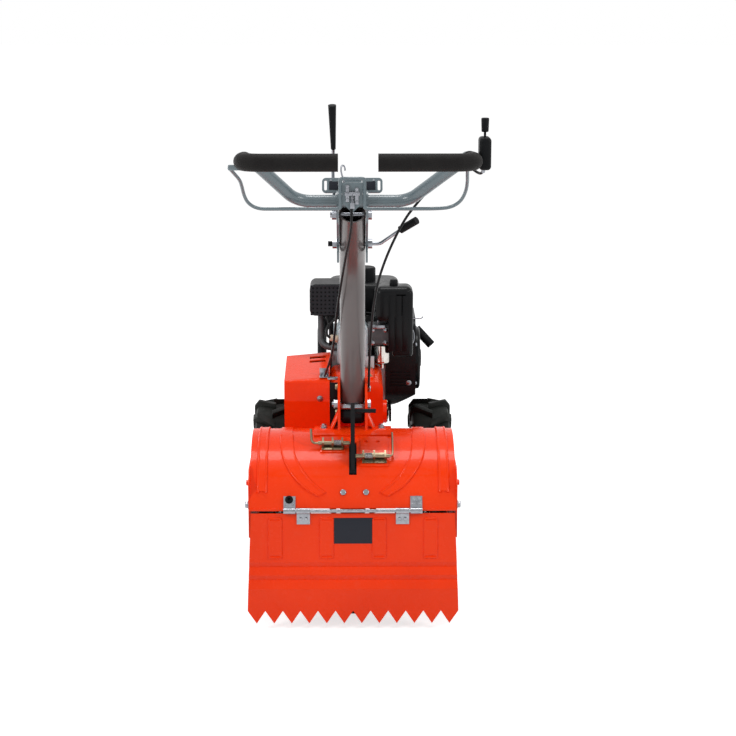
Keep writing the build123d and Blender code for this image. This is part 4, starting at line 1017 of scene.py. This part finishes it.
@dataclass
class CaseDress(Dress):
    """Bolts, lid and plugs of the gear case, the mast's foot and the fixings of the belt cover."""

    top_z: float = 520.0
    arm_half: float = 28.0
    arm_start: tuple = (320.0, 275.0, 82.0)
    arm_end: tuple = (-110.0, 205.0, 52.0)

    def rear_bolts(self) -> None:
        """Adds the black plate behind the case, a painted shade for the gap between the belt cover and the left ear,
        the cover's tie bar, and the bolts of the ears and the cover.
        """
        # painted shade: a black plate that stands in for the shade in the gap between the belt cover and the left ear
        self.slab("case_gap_painted_shade", self.finishes.black_paint, (-58, 96.0, 376), (-37, 100.4, 519), 1.2, 2)
        self.slab("cover_tie_bar", self.finishes.zinc, (-62, 12.0, 545.5), (-35, 26.0, 551.5), 1.2, 2)
        rows = [((sign * 36.4, -38.0, z), way) for z in (540.0, 475.0)
                for sign, way in ((-1, Facing.LEFT.value), (1, Facing.RIGHT.value))]
        self.fasten("ear_bolts", self.finishes.yellow_zinc, rows, Head.HEX, 6.8, 5.4, 8.6)
        edge = [((-83, 93.0, 478), Facing.REARWARD.value)]
        self.fasten("cover_edge_bolts", self.finishes.zinc, edge, Head.HEX, 6.0, 4.5, 8.0)

    def mast_foot(self) -> None:
        """Adds the sleeve and the rounded stop between the ears, below the mast."""
        sleeve = Bench.soften(Bench.cylinder(8.6, 60.2, (-30.1, -85.0, 502.0), Facing.RIGHT.value), 0.8, 2, 50.0)
        self.put(sleeve, "mast_cross_sleeve", self.finishes.zinc)
        stop = Bench.soften(Bench.cylinder(21.0, 58.0, (-29.0, -74.0, 478.0), Facing.RIGHT.value, 48), 9.0, 5, 50.0)
        self.put(stop, "mast_foot_stop", self.finishes.black_paint, slot="mast_paint")
        flares = []
        for sign in (-1, 1):
            flare = Bench.block((-2.5, -27, -21), (2.5, 25, 21))
            turn = Matrix.Translation(Vector((sign * 44.0, -88.0, 467.0)) * MM)
            flare.data.transform(turn @ Matrix.Rotation(math.radians(-sign * 24.0), 4, "Y"))
            flares.append(flare)
        flares = Bench.soften(Bench.join(flares), 1.2, 2)
        self.put(flares, "ear_flares", self.finishes.enamel)

    def lid(self) -> None:
        """Adds the shift lid on top of the case with its bolts and the oil plug."""
        z = self.top_z
        self.slab("case_lid", self.finishes.enamel, (-34, 132, z - 1), (54, 246, z + 5), 5.0, 3, 60.0,
                  slot="case_paint")
        rows = [((x, y, z + 5), Facing.UP.value) for x in (-24, 44) for y in (142, 236)]
        self.fasten("case_lid_bolts", self.finishes.yellow_zinc, rows, Head.HEX, 5.2, 4.0, 7.0)
        seats = [((10, 274, z), Facing.UP.value)]
        self.fasten("case_oil_plug", self.finishes.plastic, seats, Head.SOCKET, 11.0, 9.0, 13.0)

    def side_disc(self) -> None:
        """Adds the black cap and the bolts on the round boss at the case's right side."""
        cap = Bench.soften(Bench.cylinder(19, 5, (87.5, 150, 430), Facing.RIGHT.value), 1.6, 3, 60.0)
        self.put(cap, "case_side_cap", self.finishes.plastic)
        rows = [((88, 150 + 24.5 * math.cos(turn), 430 + 24.5 * math.sin(turn)), Facing.RIGHT.value)
                for turn in (math.tau * (i + 0.5) / 6 for i in range(6))]
        self.fasten("case_side_bolts", self.finishes.yellow_zinc, rows, Head.HEX, 3.8, 3.0)

    def arm_bolts(self) -> None:
        """Adds the bolts along the chain case's two edges, on both sides."""
        (y0, z0, r0), (y1, z1, r1) = self.arm_start, self.arm_end
        along = Vector((y1 - y0, z1 - z0)).normalized()
        rows = []
        for share in (0.18, 0.38, 0.58, 0.78, 0.97):
            reach = (r0 + share * (r1 - r0)) * 0.82
            for sign in (-1, 1):
                y = y0 + share * (y1 - y0) - sign * along.y * reach
                z = z0 + share * (z1 - z0) + sign * along.x * reach
                rows += [((self.arm_half, y, z), Facing.RIGHT.value), ((-self.arm_half, y, z), Facing.LEFT.value)]
        self.fasten("chain_case_bolts", self.finishes.yellow_zinc, rows, Head.HEX, 5.0, 3.6)

    def cable_stop(self) -> None:
        """Adds the zinc angle on the belt cover that the clutch cable ends in."""
        foot = Bench.block((-84, 100, 530.4), (-60, 128, 533.0))
        tab = Bench.block((-84, 125, 530.4), (-60, 128, 550.0))
        stop = Bench.soften(Bench.join([foot, tab]), 0.8, 2)
        self.put(stop, "clutch_cable_stop", self.finishes.zinc)

    def build(self) -> None:
        """Dresses the gear case and the belt cover."""
        self.rear_bolts()
        self.mast_foot()
        self.lid()
        self.side_disc()
        self.arm_bolts()
        self.cable_stop()


@dataclass
class EngineDress(Dress):
    """Guard, screws, pipes and small controls of the engine."""

    muffler: tuple = ((-112.0, 300.0, 652.0), (-8.0, 395.0, 736.0))
    cleaner: tuple = ((58.0, 222.0, 556.0), (158.0, 299.0, 742.0))
    cleaner_step: tuple = (104.0, 648.0)
    drum_centre: tuple = (182.0, 410.0, 514.0)
    plate_top: float = 398.0

    def muffler_guard(self) -> None:
        """Makes the pierced sheet behind the silencer: a grid whose cells are opened, given a thickness."""
        (x0, y0, z0), (x1, _, z1) = self.muffler
        deselect()
        bpy.ops.mesh.primitive_grid_add(x_subdivisions=9, y_subdivisions=7, size=1.0)
        guard = bpy.context.object
        guard.scale = ((x1 - x0 - 8) * MM, (z1 - z0 - 8) * MM, 1.0)
        guard.rotation_euler = (math.pi / 2, 0.0, 0.0)
        guard.location = ((x0 + x1) / 2 * MM, (y0 - 3.5) * MM, (z0 + z1) / 2 * MM)
        Bench.settle()
        bpy.context.tool_settings.mesh_select_mode = (False, False, True)
        bpy.ops.object.mode_set(mode="EDIT")
        bpy.ops.mesh.select_all(action="SELECT")
        bpy.ops.mesh.inset(thickness=3.1 * MM, use_individual=True)
        bpy.ops.mesh.delete(type="FACE")
        bpy.ops.object.mode_set(mode="OBJECT")
        Bench.apply(guard, "SOLIDIFY", thickness=1.2 * MM, offset=0.0)
        x0, x1, z0, z1 = x0 + 2, x1 - 2, z0 + 2, z1 - 2
        corners = ((x0, z0, x1, z0 + 4), (x0, z1 - 4, x1, z1), (x0, z0, x0 + 4, z1), (x1 - 4, z0, x1, z1))
        bars = Bench.join([Bench.block((a, y0 - 5, b), (c, y0 + 0.4, d)) for a, b, c, d in corners])
        guard = Bench.join([guard, Bench.soften(bars, 0.8, 2)])
        self.put(guard, "muffler_guard", self.finishes.guard)

    def pipes(self) -> None:
        """Adds the exhaust pipe, the plug's boot and lead, and the fuel hose."""
        exhaust = [(-82, 334, 656), (-82, 334, 628), (-82, 333, 600), (-82, 328, 578), (-70, 318, 566),
                   (-52, 308, 566), (-38, 302, 566)]
        self.wire("exhaust_pipe", self.finishes.dark_casting, exhaust, 9.5, slot="black_metal")
        boot = Bench.soften(Bench.cylinder(10, 22, (-38, 240, 602), (-1.0, -0.35, 0.25), 24, 8.0), 2.5, 3, 50.0)
        self.put(boot, "plug_boot", self.finishes.ceramic)
        lead = [(-56, 233, 607), (-64, 230, 610), (-68, 232, 622), (-62, 240, 640), (-40, 254, 656), (0, 270, 664),
                (40, 300, 660), (84, 330, 644), (96, 336, 632)]
        self.wire("plug_lead", self.finishes.sheath, lead, 3.4)
        hose = [(112, 408, 650), (112, 392, 648), (108, 360, 650), (100, 330, 650), (90, 306, 640), (84, 296, 618),
                (82, 288, 606)]
        self.wire("fuel_hose", self.finishes.sheath, hose, 4.2)

    def shrouds(self) -> None:
        """Adds the black shroud under the carburettor, the silencer's stay and the plain pale plate."""
        self.slab("engine_shroud", self.finishes.gloss_plastic, (34, 301, 520), (112, 311.6, 652), 6.0, 3)
        plate = Bench.soften(Bench.block((26, 246.4, 522), (57, 248.2, 554)), 0.6, 2)
        self.slab("plate_carrier", self.finishes.dark_casting, (24, 247.6, 519), (58, 251.5, 556), 1.6, 2)
        self.put(plate, "blank_engine_plate", self.finishes.label)
        self.slab("crankcase_flank", self.finishes.dark_casting, (-57.8, 313, 470), (-52, 330, 594), 1.6, 2)
        stay = Bench.block((-62, 303, 560), (-50, 307, 654))
        slant = Bench.cylinder(5, 92, (-66, 305, 652), (0.22, 0.0, -1.0), 4)
        stay = Bench.soften(Bench.join([stay, slant]), 1.0, 2)
        self.put(stay, "muffler_stay", self.finishes.black_paint)
        duct = [(30, 300, 548), (34, 297, 562), (38, 295, 580), (40, 294, 598), (38, 296, 614), (32, 300, 626)]
        self.wire("inlet_duct", self.finishes.casting, duct, 9.0)

    def air_cleaner(self) -> None:
        """Builds the rounded air cleaner in place of its CAD node, with its facets, knob and clip."""
        (x0, y0, z0), (x1, y1, z1) = self.cleaner
        step_x, step_z = self.cleaner_step
        lower = Bench.soften(Bench.block((step_x, y0, z0), (x1, y1, z1 - 8)), 10.0, 4)
        upper = Bench.soften(Bench.block((x0, y0, step_z), (x1, y1, z1)), 19.0, 7)
        shell = self.put(Bench.join([upper, lower]), "air_cleaner_shell", self.finishes.gloss_plastic)
        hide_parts("air_cleaner")
        ribs = []
        for i in range(4):
            x = x0 + 18 + i * 18
            low = step_z + 10 if x + 10 < step_x else z0 + 16
            ribs.append(Bench.block((x, y0 - 0.9, low), (x + 16, y0 + 1, z1 - 22)))
        ribs = Bench.soften(Bench.join(ribs), 0.8, 2)
        self.put(ribs, "air_cleaner_facets", self.finishes.gloss_plastic)
        middle = ((x0 + x1) / 2, (y0 + y1) / 2, z1 - 1)
        knob = Bench.cylinder(12, 15, middle, sides=9, top=10)
        self.put(Bench.soften(knob, 2.2, 3, 35.0), "air_cleaner_knob", self.finishes.plastic)
        clip = [(x1 - 1, y0 + 38, z0 + 30), (x1 + 3, y0 + 38, z0 + 34), (x1 + 4, y0 + 38, z0 + 48),
                (x1 + 3, y0 + 38, z0 + 62), (x1 - 1, y0 + 38, z0 + 66)]
        self.wire("air_cleaner_clip", self.finishes.zinc, clip, 1.4)

    def controls(self) -> None:
        """Adds the choke rod, the governor's lever and spring, and the carburettor's screws."""
        rod = [(118, 262, 651.7), (140, 262, 651.7), (164, 262, 651.7), (178, 262, 651.7), (184, 262, 653.5),
               (185, 262, 657)]
        self.wire("choke_rod", self.finishes.zinc, rod, 1.5)
        self.slab("throttle_arm", self.finishes.zinc, (52, 242, 628), (86, 246, 638), 1.4, 2)
        spring = Bench.coil(3.2, 0.7, 12, 34, (66, 243, 640), (0.25, 0.0, 1.0))
        self.put(spring, "governor_spring", self.finishes.zinc, smooth=60.0)
        rows = [((x, 248, z), Facing.REARWARD.value) for x in (52, 86) for z in (590, 624)]
        rows += [((x, 226, z), Facing.REARWARD.value) for x in (-25, 25) for z in (550, 620)]
        self.fasten("engine_screws", self.finishes.zinc, rows, Head.HEX, 4.6, 3.6, 6.2)

    def recoil(self) -> None:
        """Adds the recoil cover's hub and screws and the blower's screws."""
        x, y, z = self.drum_centre
        hub = Bench.soften(Bench.cylinder(26, 5, (x - 0.6, y, z), Facing.RIGHT.value, top=22), 1.8, 3, 50.0)
        self.put(hub, "recoil_hub", self.finishes.plastic)
        rows = [((x - 14, y + 92 * math.cos(turn), z + 92 * math.sin(turn)), Facing.RIGHT.value)
                for turn in (math.radians(a) for a in (35, 145, 215, 325))]
        rows += [((150, 300, height), Facing.REARWARD.value) for height in (470, 575)]
        self.fasten("blower_screws", self.finishes.zinc, rows, Head.DOME, 5.0, 3.4, 7.0)

    def fixings(self) -> None:
        """Adds the guard's feet and the cradle's bolts."""
        z = self.plate_top
        feet = [Bench.soften(Bench.block((x - 24, 560, z - 0.4), (x + reach, 599, z + 4)), 1.4, 2)
                for x, reach in ((-85, 24), (85, 19))]
        self.put(Bench.join(feet), "guard_feet", self.finishes.black_paint)
        rows = [((x, y, z + 4), Facing.UP.value) for x in (-102, -68, 68) for y in (567, 592)]
        rows += [((-80, y, z), Facing.UP.value) for y in (330, 470)]
        self.fasten("cradle_bolts", self.finishes.zinc, rows, Head.HEX, 5.4, 4.2, 7.4)

    def build(self) -> None:
        """Dresses the engine."""
        self.muffler_guard()
        self.pipes()
        self.shrouds()
        self.air_cleaner()
        self.controls()
        self.recoil()
        self.fixings()


@dataclass
class HandlebarDress(Dress):
    """Foam ends, linkage, clips, plates, wire bail and thumb throttle of the handlebar."""

    body: Body = Body.HANDLEBAR
    shift: float = 12.0
    grip_outer: float = 249.0
    grip_y: float = -600.0
    grip_z: float = 1155.0
    shield_y: float = -392.0

    def run(self, sign: int) -> tuple:
        """Where the bar runs behind a grip.

        Args:
            sign: -1 for the left side and 1 for the right.

        Returns:
            The grip's outer corner and a point of the bar ahead of it.
        """
        corner = Vector((sign * self.grip_outer + self.shift, self.grip_y, self.grip_z))
        foot = Vector((sign * (self.grip_outer - 16.0) + self.shift, self.grip_y + 130.0, self.grip_z - 5.0))
        return corner, foot

    def foam_ends(self) -> None:
        """Adds the pale foam rings behind the black grips."""
        for sign, name in ((-1, "left"), (1, "right")):
            corner, foot = self.run(sign)
            seat = corner + (foot - corner) * 0.505
            ring = Bench.cylinder(18.0, 8.0, tuple(seat), tuple(foot - corner), 36)
            self.put(Bench.soften(ring, 2.4, 3, 60.0), "foam_end_" + name, self.finishes.tan_foam)

    def linkage(self) -> None:
        """Adds the plated links and pins on the head's shield."""
        y = self.shield_y
        links = [Bench.block((-15, y - 4, 1046), (-7, y - 1.4, 1084)),
                 Bench.block((6, y - 4, 1040), (14, y - 1.4, 1078)),
                 Bench.block((-17, y - 6.6, 1060), (17, y - 4, 1068)), Bench.block((-5, y - 4, 1030), (5, y, 1044))]
        links = Bench.soften(Bench.join(links), 1.0, 2)
        self.put(links, "lock_links", self.finishes.zinc)
        rows = [((x, y - 4, z), Facing.REARWARD.value) for x, z in ((-11, 1079), (10, 1073), (10, 1045), (-11, 1051))]
        rows += [((x, y - 6.6, 1064), Facing.REARWARD.value) for x in (-12, 12)]
        self.fasten("lock_link_pins", self.finishes.zinc, rows, Head.DOME, 3.6, 2.6)
        hook = [(-18, y + 4, 1088), (-21, y + 4, 1098), (-25, y + 4, 1112), (-25, y + 4, 1122), (-21, y + 4, 1127),
                (-16, y + 4, 1122), (-16, y + 4, 1114)]
        self.wire("lock_hook", self.finishes.zinc, hook, 2.0)
        spring = Bench.coil(3.6, 0.8, 9, 26, (0, y - 3.4, 1044), Facing.UP.value)
        self.put(spring, "lock_spring", self.finishes.zinc, smooth=60.0)

    def clips(self) -> None:
        """Adds the clips that hold the wire bail to the bar."""
        pieces = []
        for sign, share in ((-1, 0.63), (1, 0.86)):
            corner, foot = self.run(sign)
            way = (foot - corner).normalized()
            seat = corner + (foot - corner) * share - way * 5
            pieces.append(Bench.soften(Bench.cylinder(16.2, 10.0, tuple(seat), tuple(way), 32), 1.0, 2, 60.0))
        pieces.append(Bench.soften(Bench.block((-265, -524, 1130), (-232, -516, 1142)), 2.5, 2))
        pieces.append(Bench.soften(Bench.block((242.5, -497, 1124), (252.5, -487, 1146)), 2.5, 2))
        self.put(Bench.join(pieces), "bail_clips", self.finishes.bar)

    def panel_screws(self) -> None:
        """Adds the plain dark plates and the screws of the lever panel."""
        turn = math.radians(62.0)
        out = Vector((0.0, -math.sin(turn), math.cos(turn)))
        across = Vector((0.0, math.cos(turn), math.sin(turn)))
        middle = Vector((0.0, -318.0, 1072.0)) + out * 3.0
        rows = [(tuple(middle + Vector((x, 0, 0)) + across * 12), tuple(out)) for x in (-48, -26, 26, 48)]
        plates = []
        for x in (-38.0, 38.0):
            plate = Bench.block((x - 14, -11, 0), (x + 14, 9, 1.2))
            plate.data.transform(Matrix.Translation(middle * MM) @ Matrix.Rotation(turn, 4, "X"))
            plates.append(plate)
        self.put(Bench.soften(Bench.join(plates), 0.5, 2), "blank_panel_plates", self.finishes.slate)
        self.fasten("panel_screws", self.finishes.zinc, rows, Head.DOME, 2.6, 1.8)

    def bail(self) -> None:
        """Bends the safety bail from one smooth wire, in place of its CAD node."""
        y = self.shield_y
        route = [(-262, -520, 1135), (-252, -489, 1118), (-243, -462, 1102), (-240, -440, 1084), (-238, -420, 1066),
                 (-232, -406, 1048), (-220, -396, 1036), (-204, y, 1030), (-180, y, 1030), (-110, y, 1030),
                 (-40, y, 1030), (-30, y, 1030), (-27, y, 1033), (-27, y, 1042), (-27, y, 1086), (-27, y, 1094),
                 (-24, y, 1097), (-16, y, 1097), (16, y, 1097), (24, y, 1097), (27, y, 1094), (27, y, 1086),
                 (27, y, 1042), (27, y, 1033), (30, y, 1030), (40, y, 1030), (120, y, 1030), (196, y, 1030),
                 (222, -395, 1035), (240, -408, 1050), (249, -426, 1074), (250, -452, 1098), (248, -474, 1114),
                 (247, -492, 1128)]
        wire = self.wire("bail_wire", self.finishes.bar, route, 4.0, smooth=60.0)
        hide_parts("safety_bail")

    def throttle(self) -> None:
        """Shapes the thumb throttle: rounded case, ring, stem and knob, in place of its CAD node."""
        corner, foot = self.run(1)
        way = (foot - corner).normalized()
        case = Bench.soften(Bench.block((269.5, -530, 1129.8), (295.3, -482, 1199.6)), 8.0, 5)
        stem = Bench.cylinder(2.6, 14, (282.4, -506.2, 1197), Facing.UP.value, 20)
        knob = Bench.soften(Bench.cylinder(7.6, 30, (282.4, -506.2, 1209.7), Facing.UP.value, 20, 8.6), 2.4, 3, 50.0)
        ring = Bench.soften(Bench.cylinder(18.6, 14, tuple(corner + way * 79), tuple(way), 40), 1.4, 2, 60.0)
        ear = Bench.soften(Bench.block((262, -520, 1143), (273, -500, 1161)), 2.0, 2)
        piece = self.put(Bench.join([case, stem, knob, ring, ear]), "thumb_throttle", self.finishes.plastic)
        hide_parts("throttle_control")

    def build(self) -> None:
        """Dresses the handlebar."""
        self.foam_ends()
        self.linkage()
        self.clips()
        self.panel_screws()
        self.bail()
        self.throttle()


@dataclass
class Cables:
    """The two sheathed cables, each laid from the handlebar down to the chassis, with their ferrules."""

    finishes: Finishes
    radius: float = 3.0
    throttle: tuple = ((280, -508, 1132), (279, -496, 1120), (271, -472, 1118), (256, -446, 1128),
                       (238, -434, 1132), (208, -406, 1106), (182, -380, 1080), (158, -356, 1054),
                       (140, -345, 1030), (121, -337, 1004),
                       (100, -318, 962), (77, -290, 905), (60, -262, 848), (50, -228, 788), (45, -190, 728),
                       (42, -152, 668), (40, -116, 608), (39.6, -84, 552))
    clutch: tuple = ((-2, -396, 1030), (-2, -390, 1012), (-2, -372, 990), (-7, -332, 951), (-14, -288, 912),
                     (-21, -238, 866), (-30, -190, 806), (-38, -148, 744), (-43, -104, 686), (-49, -52, 634),
                     (-57, 10, 590), (-66, 64, 556), (-71, 110, 532.8))

    def lay(self, name: str, route: tuple) -> None:
        """Lays one cable in place of its CAD node.

        Args:
            name: the node's name.
            route: its points from the handlebar down.
        """
        piece = Bench.line(name + "_line", list(route), self.radius)
        piece.data.materials.clear()
        piece.data.materials.append(self.finishes.sheath.material)
        bpy.ops.object.shade_smooth_by_angle(angle=math.radians(50.0))
        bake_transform(piece)
        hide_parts(name)
        LOG.info("cable %s", name)

    def ferrules(self) -> None:
        """Adds the ends of both cables."""
        seats = (((39.6, -84, 552), (0.02, 0.5, -0.85), Body.CHASSIS, "throttle_cable_foot"),
                 ((-71, 104, 535.5), (-0.1, 0.93, -0.42), Body.CHASSIS, "clutch_cable_foot"),
                 ((280, -509, 1138), (0.0, 0.35, -0.95), Body.HANDLEBAR, "throttle_cable_head"))
        for place, way, body, name in seats:
            end = Bench.cylinder(5.0, 16.0, place, way, 20, 4.0)
            Bench.finish(Bench.soften(end, 1.0, 2, 50.0), name, self.finishes.zinc.material, body, "zinc")

    def build(self) -> None:
        """Lays both cables."""
        self.lay("throttle_cable", self.throttle)
        self.lay("clutch_cable", self.clutch)
        self.ferrules()


@dataclass
class WheelDress(Dress):
    """Smooth lugged tyres in place of the plain ones, with hub clips and valves."""

    centre: tuple = (210.0, 380.0, 202.0)
    radius: float = 202.0
    half: float = 56.0
    lug_angle: float = 38.0
    lug_thickness: float = 17.0
    lug_count: int = 13
    overlap: float = 4.0

    def carcass(self) -> Piece:
        """Turns the tyre's body with a rounded shoulder, a bulged wall and a rim line."""
        right = [(0.0, 187.4), (24.0, 187.0), (38.0, 185.2), (45.5, 181.0), (49.5, 174.0), (51.0, 164.0),
                 (51.2, 156.0), (50.2, 154.5), (51.0, 152.5), (50.6, 143.0), (48.6, 133.0), (45.0, 125.0),
                 (43.2, 123.5), (42.6, 120.5), (40.0, 117.0), (38.2, 112.0), (38.0, 101.6)]
        left = [(-x, r) for x, r in reversed(right[1:])]
        return Bench.turned(right + left, steps=78)

    def lug(self) -> Piece:
        """Makes one slanting tread bar at the top of the tyre, as a face pushed through and bevelled."""
        lean = math.radians(self.lug_angle)
        corner = (self.half / 2 + self.overlap) * math.tan(lean) + self.lug_thickness / 2 / math.cos(lean)
        top = math.sqrt(self.radius ** 2 - corner ** 2) - 0.2
        section = [(-self.overlap, 181.0), (-self.overlap, top), (self.half - 13.0, top), (self.half - 0.3, 181.5),
                   (self.half - 0.3, 150.5), (self.half - 10.0, 149.5), (self.half - 16.0, 181.0)]
        deselect()
        bpy.ops.mesh.primitive_circle_add(vertices=len(section), radius=1.0, fill_type="NGON")
        bar = bpy.context.object
        depth = self.lug_thickness / math.cos(lean)
        for vertex, (x, z) in zip(bar.data.vertices, section):
            vertex.co = (x * MM, ((x - self.half / 2) * math.tan(lean) - depth / 2) * MM, z * MM)
        bpy.ops.object.mode_set(mode="EDIT")
        bpy.ops.mesh.select_all(action="SELECT")
        bpy.ops.mesh.extrude_region_move(TRANSFORM_OT_translate={"value": (0.0, depth * MM, 0.0)})
        bpy.ops.object.mode_set(mode="OBJECT")
        return Bench.soften(Bench.face_outward(bar), 1.6, 2, 25.0)

    def tyre(self, side: str, sign: int) -> None:
        """Builds one tyre and puts it in place of its CAD node.

        Args:
            side: the wheel's side, in words.
            sign: -1 for the left side and 1 for the right.
        """
        master = self.lug()
        pitch = math.tau / self.lug_count
        flip = Matrix.Scale(-1.0, 4, Vector((1.0, 0.0, 0.0)))
        lugs = [Bench.copy(master, Matrix.Rotation(i * pitch, 4, "X")) for i in range(self.lug_count)]
        others = [Bench.copy(master, Matrix.Rotation((i + 0.5) * pitch, 4, "X") @ flip)
                  for i in range(self.lug_count)]
        bpy.data.objects.remove(master)
        mirrored = Bench.join(others)
        Bench.face_outward(mirrored)
        tyre = Bench.join([self.carcass(), mirrored] + lugs)
        if sign < 0:
            tyre.data.transform(flip)
            Bench.face_outward(tyre)
        x, y, z = self.centre
        tyre.data.transform(Matrix.Translation(Vector((sign * x, y, z)) * MM))
        self.put(tyre, "lugged_tyre_" + side, self.finishes.rubber, smooth=30.0)
        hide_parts("tyre_" + side)

    def hub(self, side: str, sign: int) -> None:
        """Adds the axle's cross pin, its clip and the valve.

        Args:
            side: the wheel's side, in words.
            sign: -1 for the left side and 1 for the right.
        """
        x, y, z = self.centre
        pin = Bench.soften(Bench.cylinder(4.0, 58.0, (sign * (x + 38.0), y, z - 29.0), Facing.UP.value, 20), 1.2, 2,
                           50.0)
        ring = Bench.turned([(-1.2, 24.8), (1.2, 24.8), (1.2, 22.2), (-1.2, 22.2)], (sign * (x + 44.0), y, z), 40)
        self.put(Bench.join([pin, ring]), "hub_pin_" + side, self.finishes.zinc)
        valve = Bench.soften(Bench.cylinder(4.2, 30.0, (sign * (x + 14.0), y + 88.0, z), (sign * 1.0, -0.25, 0.0),
                                            16, 3.2), 0.8, 2, 50.0)
        self.put(valve, "valve_" + side, self.finishes.sheath, slot="tyre_rubber")

    def build(self) -> None:
        """Builds both wheels' dressing."""
        for side, sign, body in (("left", -1, Body.WHEEL_LEFT), ("right", 1, Body.WHEEL_RIGHT)):
            self.body = body
            self.tyre(side, sign)
            self.hub(side, sign)


@dataclass
class RotorDress(Dress):
    """The bolts that hold each tine to its flange."""

    body: Body = Body.ROTOR
    axis_y: float = -110.0
    axis_z: float = 205.0
    flanges: tuple = (44.0, 118.0, 192.0)
    tines: int = 4
    face: float = 9.0

    def build(self) -> None:
        """Bolts all the tines of both gangs."""
        rows = []
        for side in (-1, 1):
            for row, x in enumerate(self.flanges):
                for i in range(self.tines):
                    inward = row == len(self.flanges) - 1 or (row == 1 and i % 2 == 0)
                    way = -side if inward else side
                    turn = math.radians(360.0 / self.tines * i + 30.0 * row + 2.0)
                    place = (side * x + way * self.face, self.axis_y + 40.0 * math.cos(turn),
                             self.axis_z + 40.0 * math.sin(turn))
                    rows.append((place, (float(way), 0.0, 0.0)))
        self.fasten("tine_bolts", self.finishes.steel, rows, Head.HEX, 6.4, 4.6)


@dataclass
class TwoTone:
    """CAD nodes whose ends are of another material, told apart by place."""

    finishes: Finishes

    @staticmethod
    def paint(node: str, second: Finish, test: Callable) -> None:
        """Gives the second material to the faces that pass a test.

        Args:
            node: the CAD node.
            second: the other material.
            test: takes a face's middle in millimetres and says whether it is of the other material.
        """
        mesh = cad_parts[node].data
        mesh.materials.append(second)
        for face in mesh.polygons:
            if test(face.center / MM):
                face.material_index = 1

    def build(self) -> None:
        """Paints the levers' knobs and rods."""
        self.paint("clamp_lever", self.finishes.plastic.material, lambda p: p.x > 108.0 or p.x < -44.0)
        self.paint("shift_lever", self.finishes.zinc.material, lambda p: p.z < 1156.0)


@dataclass
class Studio:
    """Camera, lamps, floor and world."""

    eye: tuple = (-0.005, -4.300, 1.564)
    pitch_down: float = 12.9
    yaw_right: float = 0.58
    lens: float = 86.9
    floor_size: float = 60.0
    aim: tuple = (0.0, 0.0, 0.55)
    soft_boxes: tuple = (("key_left", (-3.0, -2.6, 2.6), (0.9, 1.8), 66.0),
                         ("key_right", (3.0, -2.2, 2.4), (0.9, 1.8), 50.0),
                         ("overhead", (0.0, 0.4, 3.8), (1.6, 1.0), 44.0),
                         ("front_fill", (-2.9, 3.0, 0.95), (2.0, 1.6), 26.0))

    def camera(self) -> None:
        """Places the camera where the photograph was taken from."""
        data = bpy.data.cameras.new("camera")
        data.lens = self.lens
        data.sensor_width = 36.0
        data.clip_end = 200.0
        camera = bpy.data.objects.new("camera", data)
        camera.location = self.eye
        turn = (math.radians(90.0 - self.pitch_down), 0.0, math.radians(-self.yaw_right))
        camera.rotation_euler = turn
        bpy.context.scene.collection.objects.link(camera)
        bpy.context.scene.camera = camera

    def lamp(self, name: str, place: tuple, size: tuple, power: float) -> None:
        """Adds one soft box that faces the machine.

        Args:
            name: the lamp's name.
            place: where it stands.
            size: its width and height.
            power: its power in watts.
        """
        data = bpy.data.lights.new(name, "AREA")
        data.shape = "RECTANGLE"
        data.size, data.size_y = size
        data.energy = power
        lamp = bpy.data.objects.new(name, data)
        lamp.location = place
        lamp.rotation_euler = (Vector(self.aim) - Vector(place)).to_track_quat("-Z", "Y").to_euler()
        bpy.context.scene.collection.objects.link(lamp)

    def lamps(self) -> None:
        """Lights the machine from both sides, above and a little from the front."""
        for name, place, size, power in self.soft_boxes:
            self.lamp(name, place, size, power)

    def world(self, fill: float = 0.42) -> None:
        """Makes a white room that the camera and metal see, and a dimmer one that lights the machine.

        Args:
            fill: the dimmer one's strength.
        """
        world = bpy.data.worlds.new("studio")
        world.use_nodes = True
        bpy.context.scene.world = world
        tree = world.node_tree
        tree.nodes.clear()
        output = tree.nodes.new("ShaderNodeOutputWorld")
        shown = tree.nodes.new("ShaderNodeBackground")
        shown.inputs["Strength"].default_value = 1.0
        light = tree.nodes.new("ShaderNodeBackground")
        light.inputs["Strength"].default_value = fill
        for node in (shown, light):
            node.inputs["Color"].default_value = (1.0, 1.0, 1.0, 1.0)
        path = tree.nodes.new("ShaderNodeLightPath")
        seen = path.outputs["Is Camera Ray"]
        for name in ("Is Glossy Ray", "Is Transmission Ray"):
            either = tree.nodes.new("ShaderNodeMath")
            either.operation = "MAXIMUM"
            tree.links.new(seen, either.inputs[0])
            tree.links.new(path.outputs[name], either.inputs[1])
            seen = either.outputs[0]
        mix = tree.nodes.new("ShaderNodeMixShader")
        tree.links.new(seen, mix.inputs[0])
        tree.links.new(light.outputs[0], mix.inputs[1])
        tree.links.new(shown.outputs[0], mix.inputs[2])
        tree.links.new(mix.outputs[0], output.inputs[0])

    def floor(self) -> None:
        """Lays the pale floor."""
        deselect()
        bpy.ops.mesh.primitive_plane_add(size=self.floor_size)
        floor = bpy.context.object
        floor.name = "studio_floor"
        floor.data.materials.append(Backdrop().make())

    def build(self) -> None:
        """Builds the whole studio."""
        bpy.context.scene.view_settings.view_transform = "Standard"
        self.camera()
        self.lamps()
        self.world()
        self.floor()


def deselect() -> None:
    """Leaves object mode with nothing selected."""
    if bpy.context.object and bpy.context.object.mode != "OBJECT":
        bpy.ops.object.mode_set(mode="OBJECT")
    bpy.ops.object.select_all(action="DESELECT")


def main() -> None:
    """Builds the studio, the finishes and the dressing in order."""
    logging.basicConfig(level=logging.INFO, format="%(message)s")
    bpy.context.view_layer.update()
    Studio().build()
    finishes = Finishes()
    NodePaint(finishes).apply()
    for section in (HoodDress, FlapDress, CaseDress, EngineDress, HandlebarDress, Cables, WheelDress, RotorDress,
                    TwoTone):
        LOG.info("section %s", section.__name__)
        section(finishes).build()


if __name__ == "__main__":
    main()
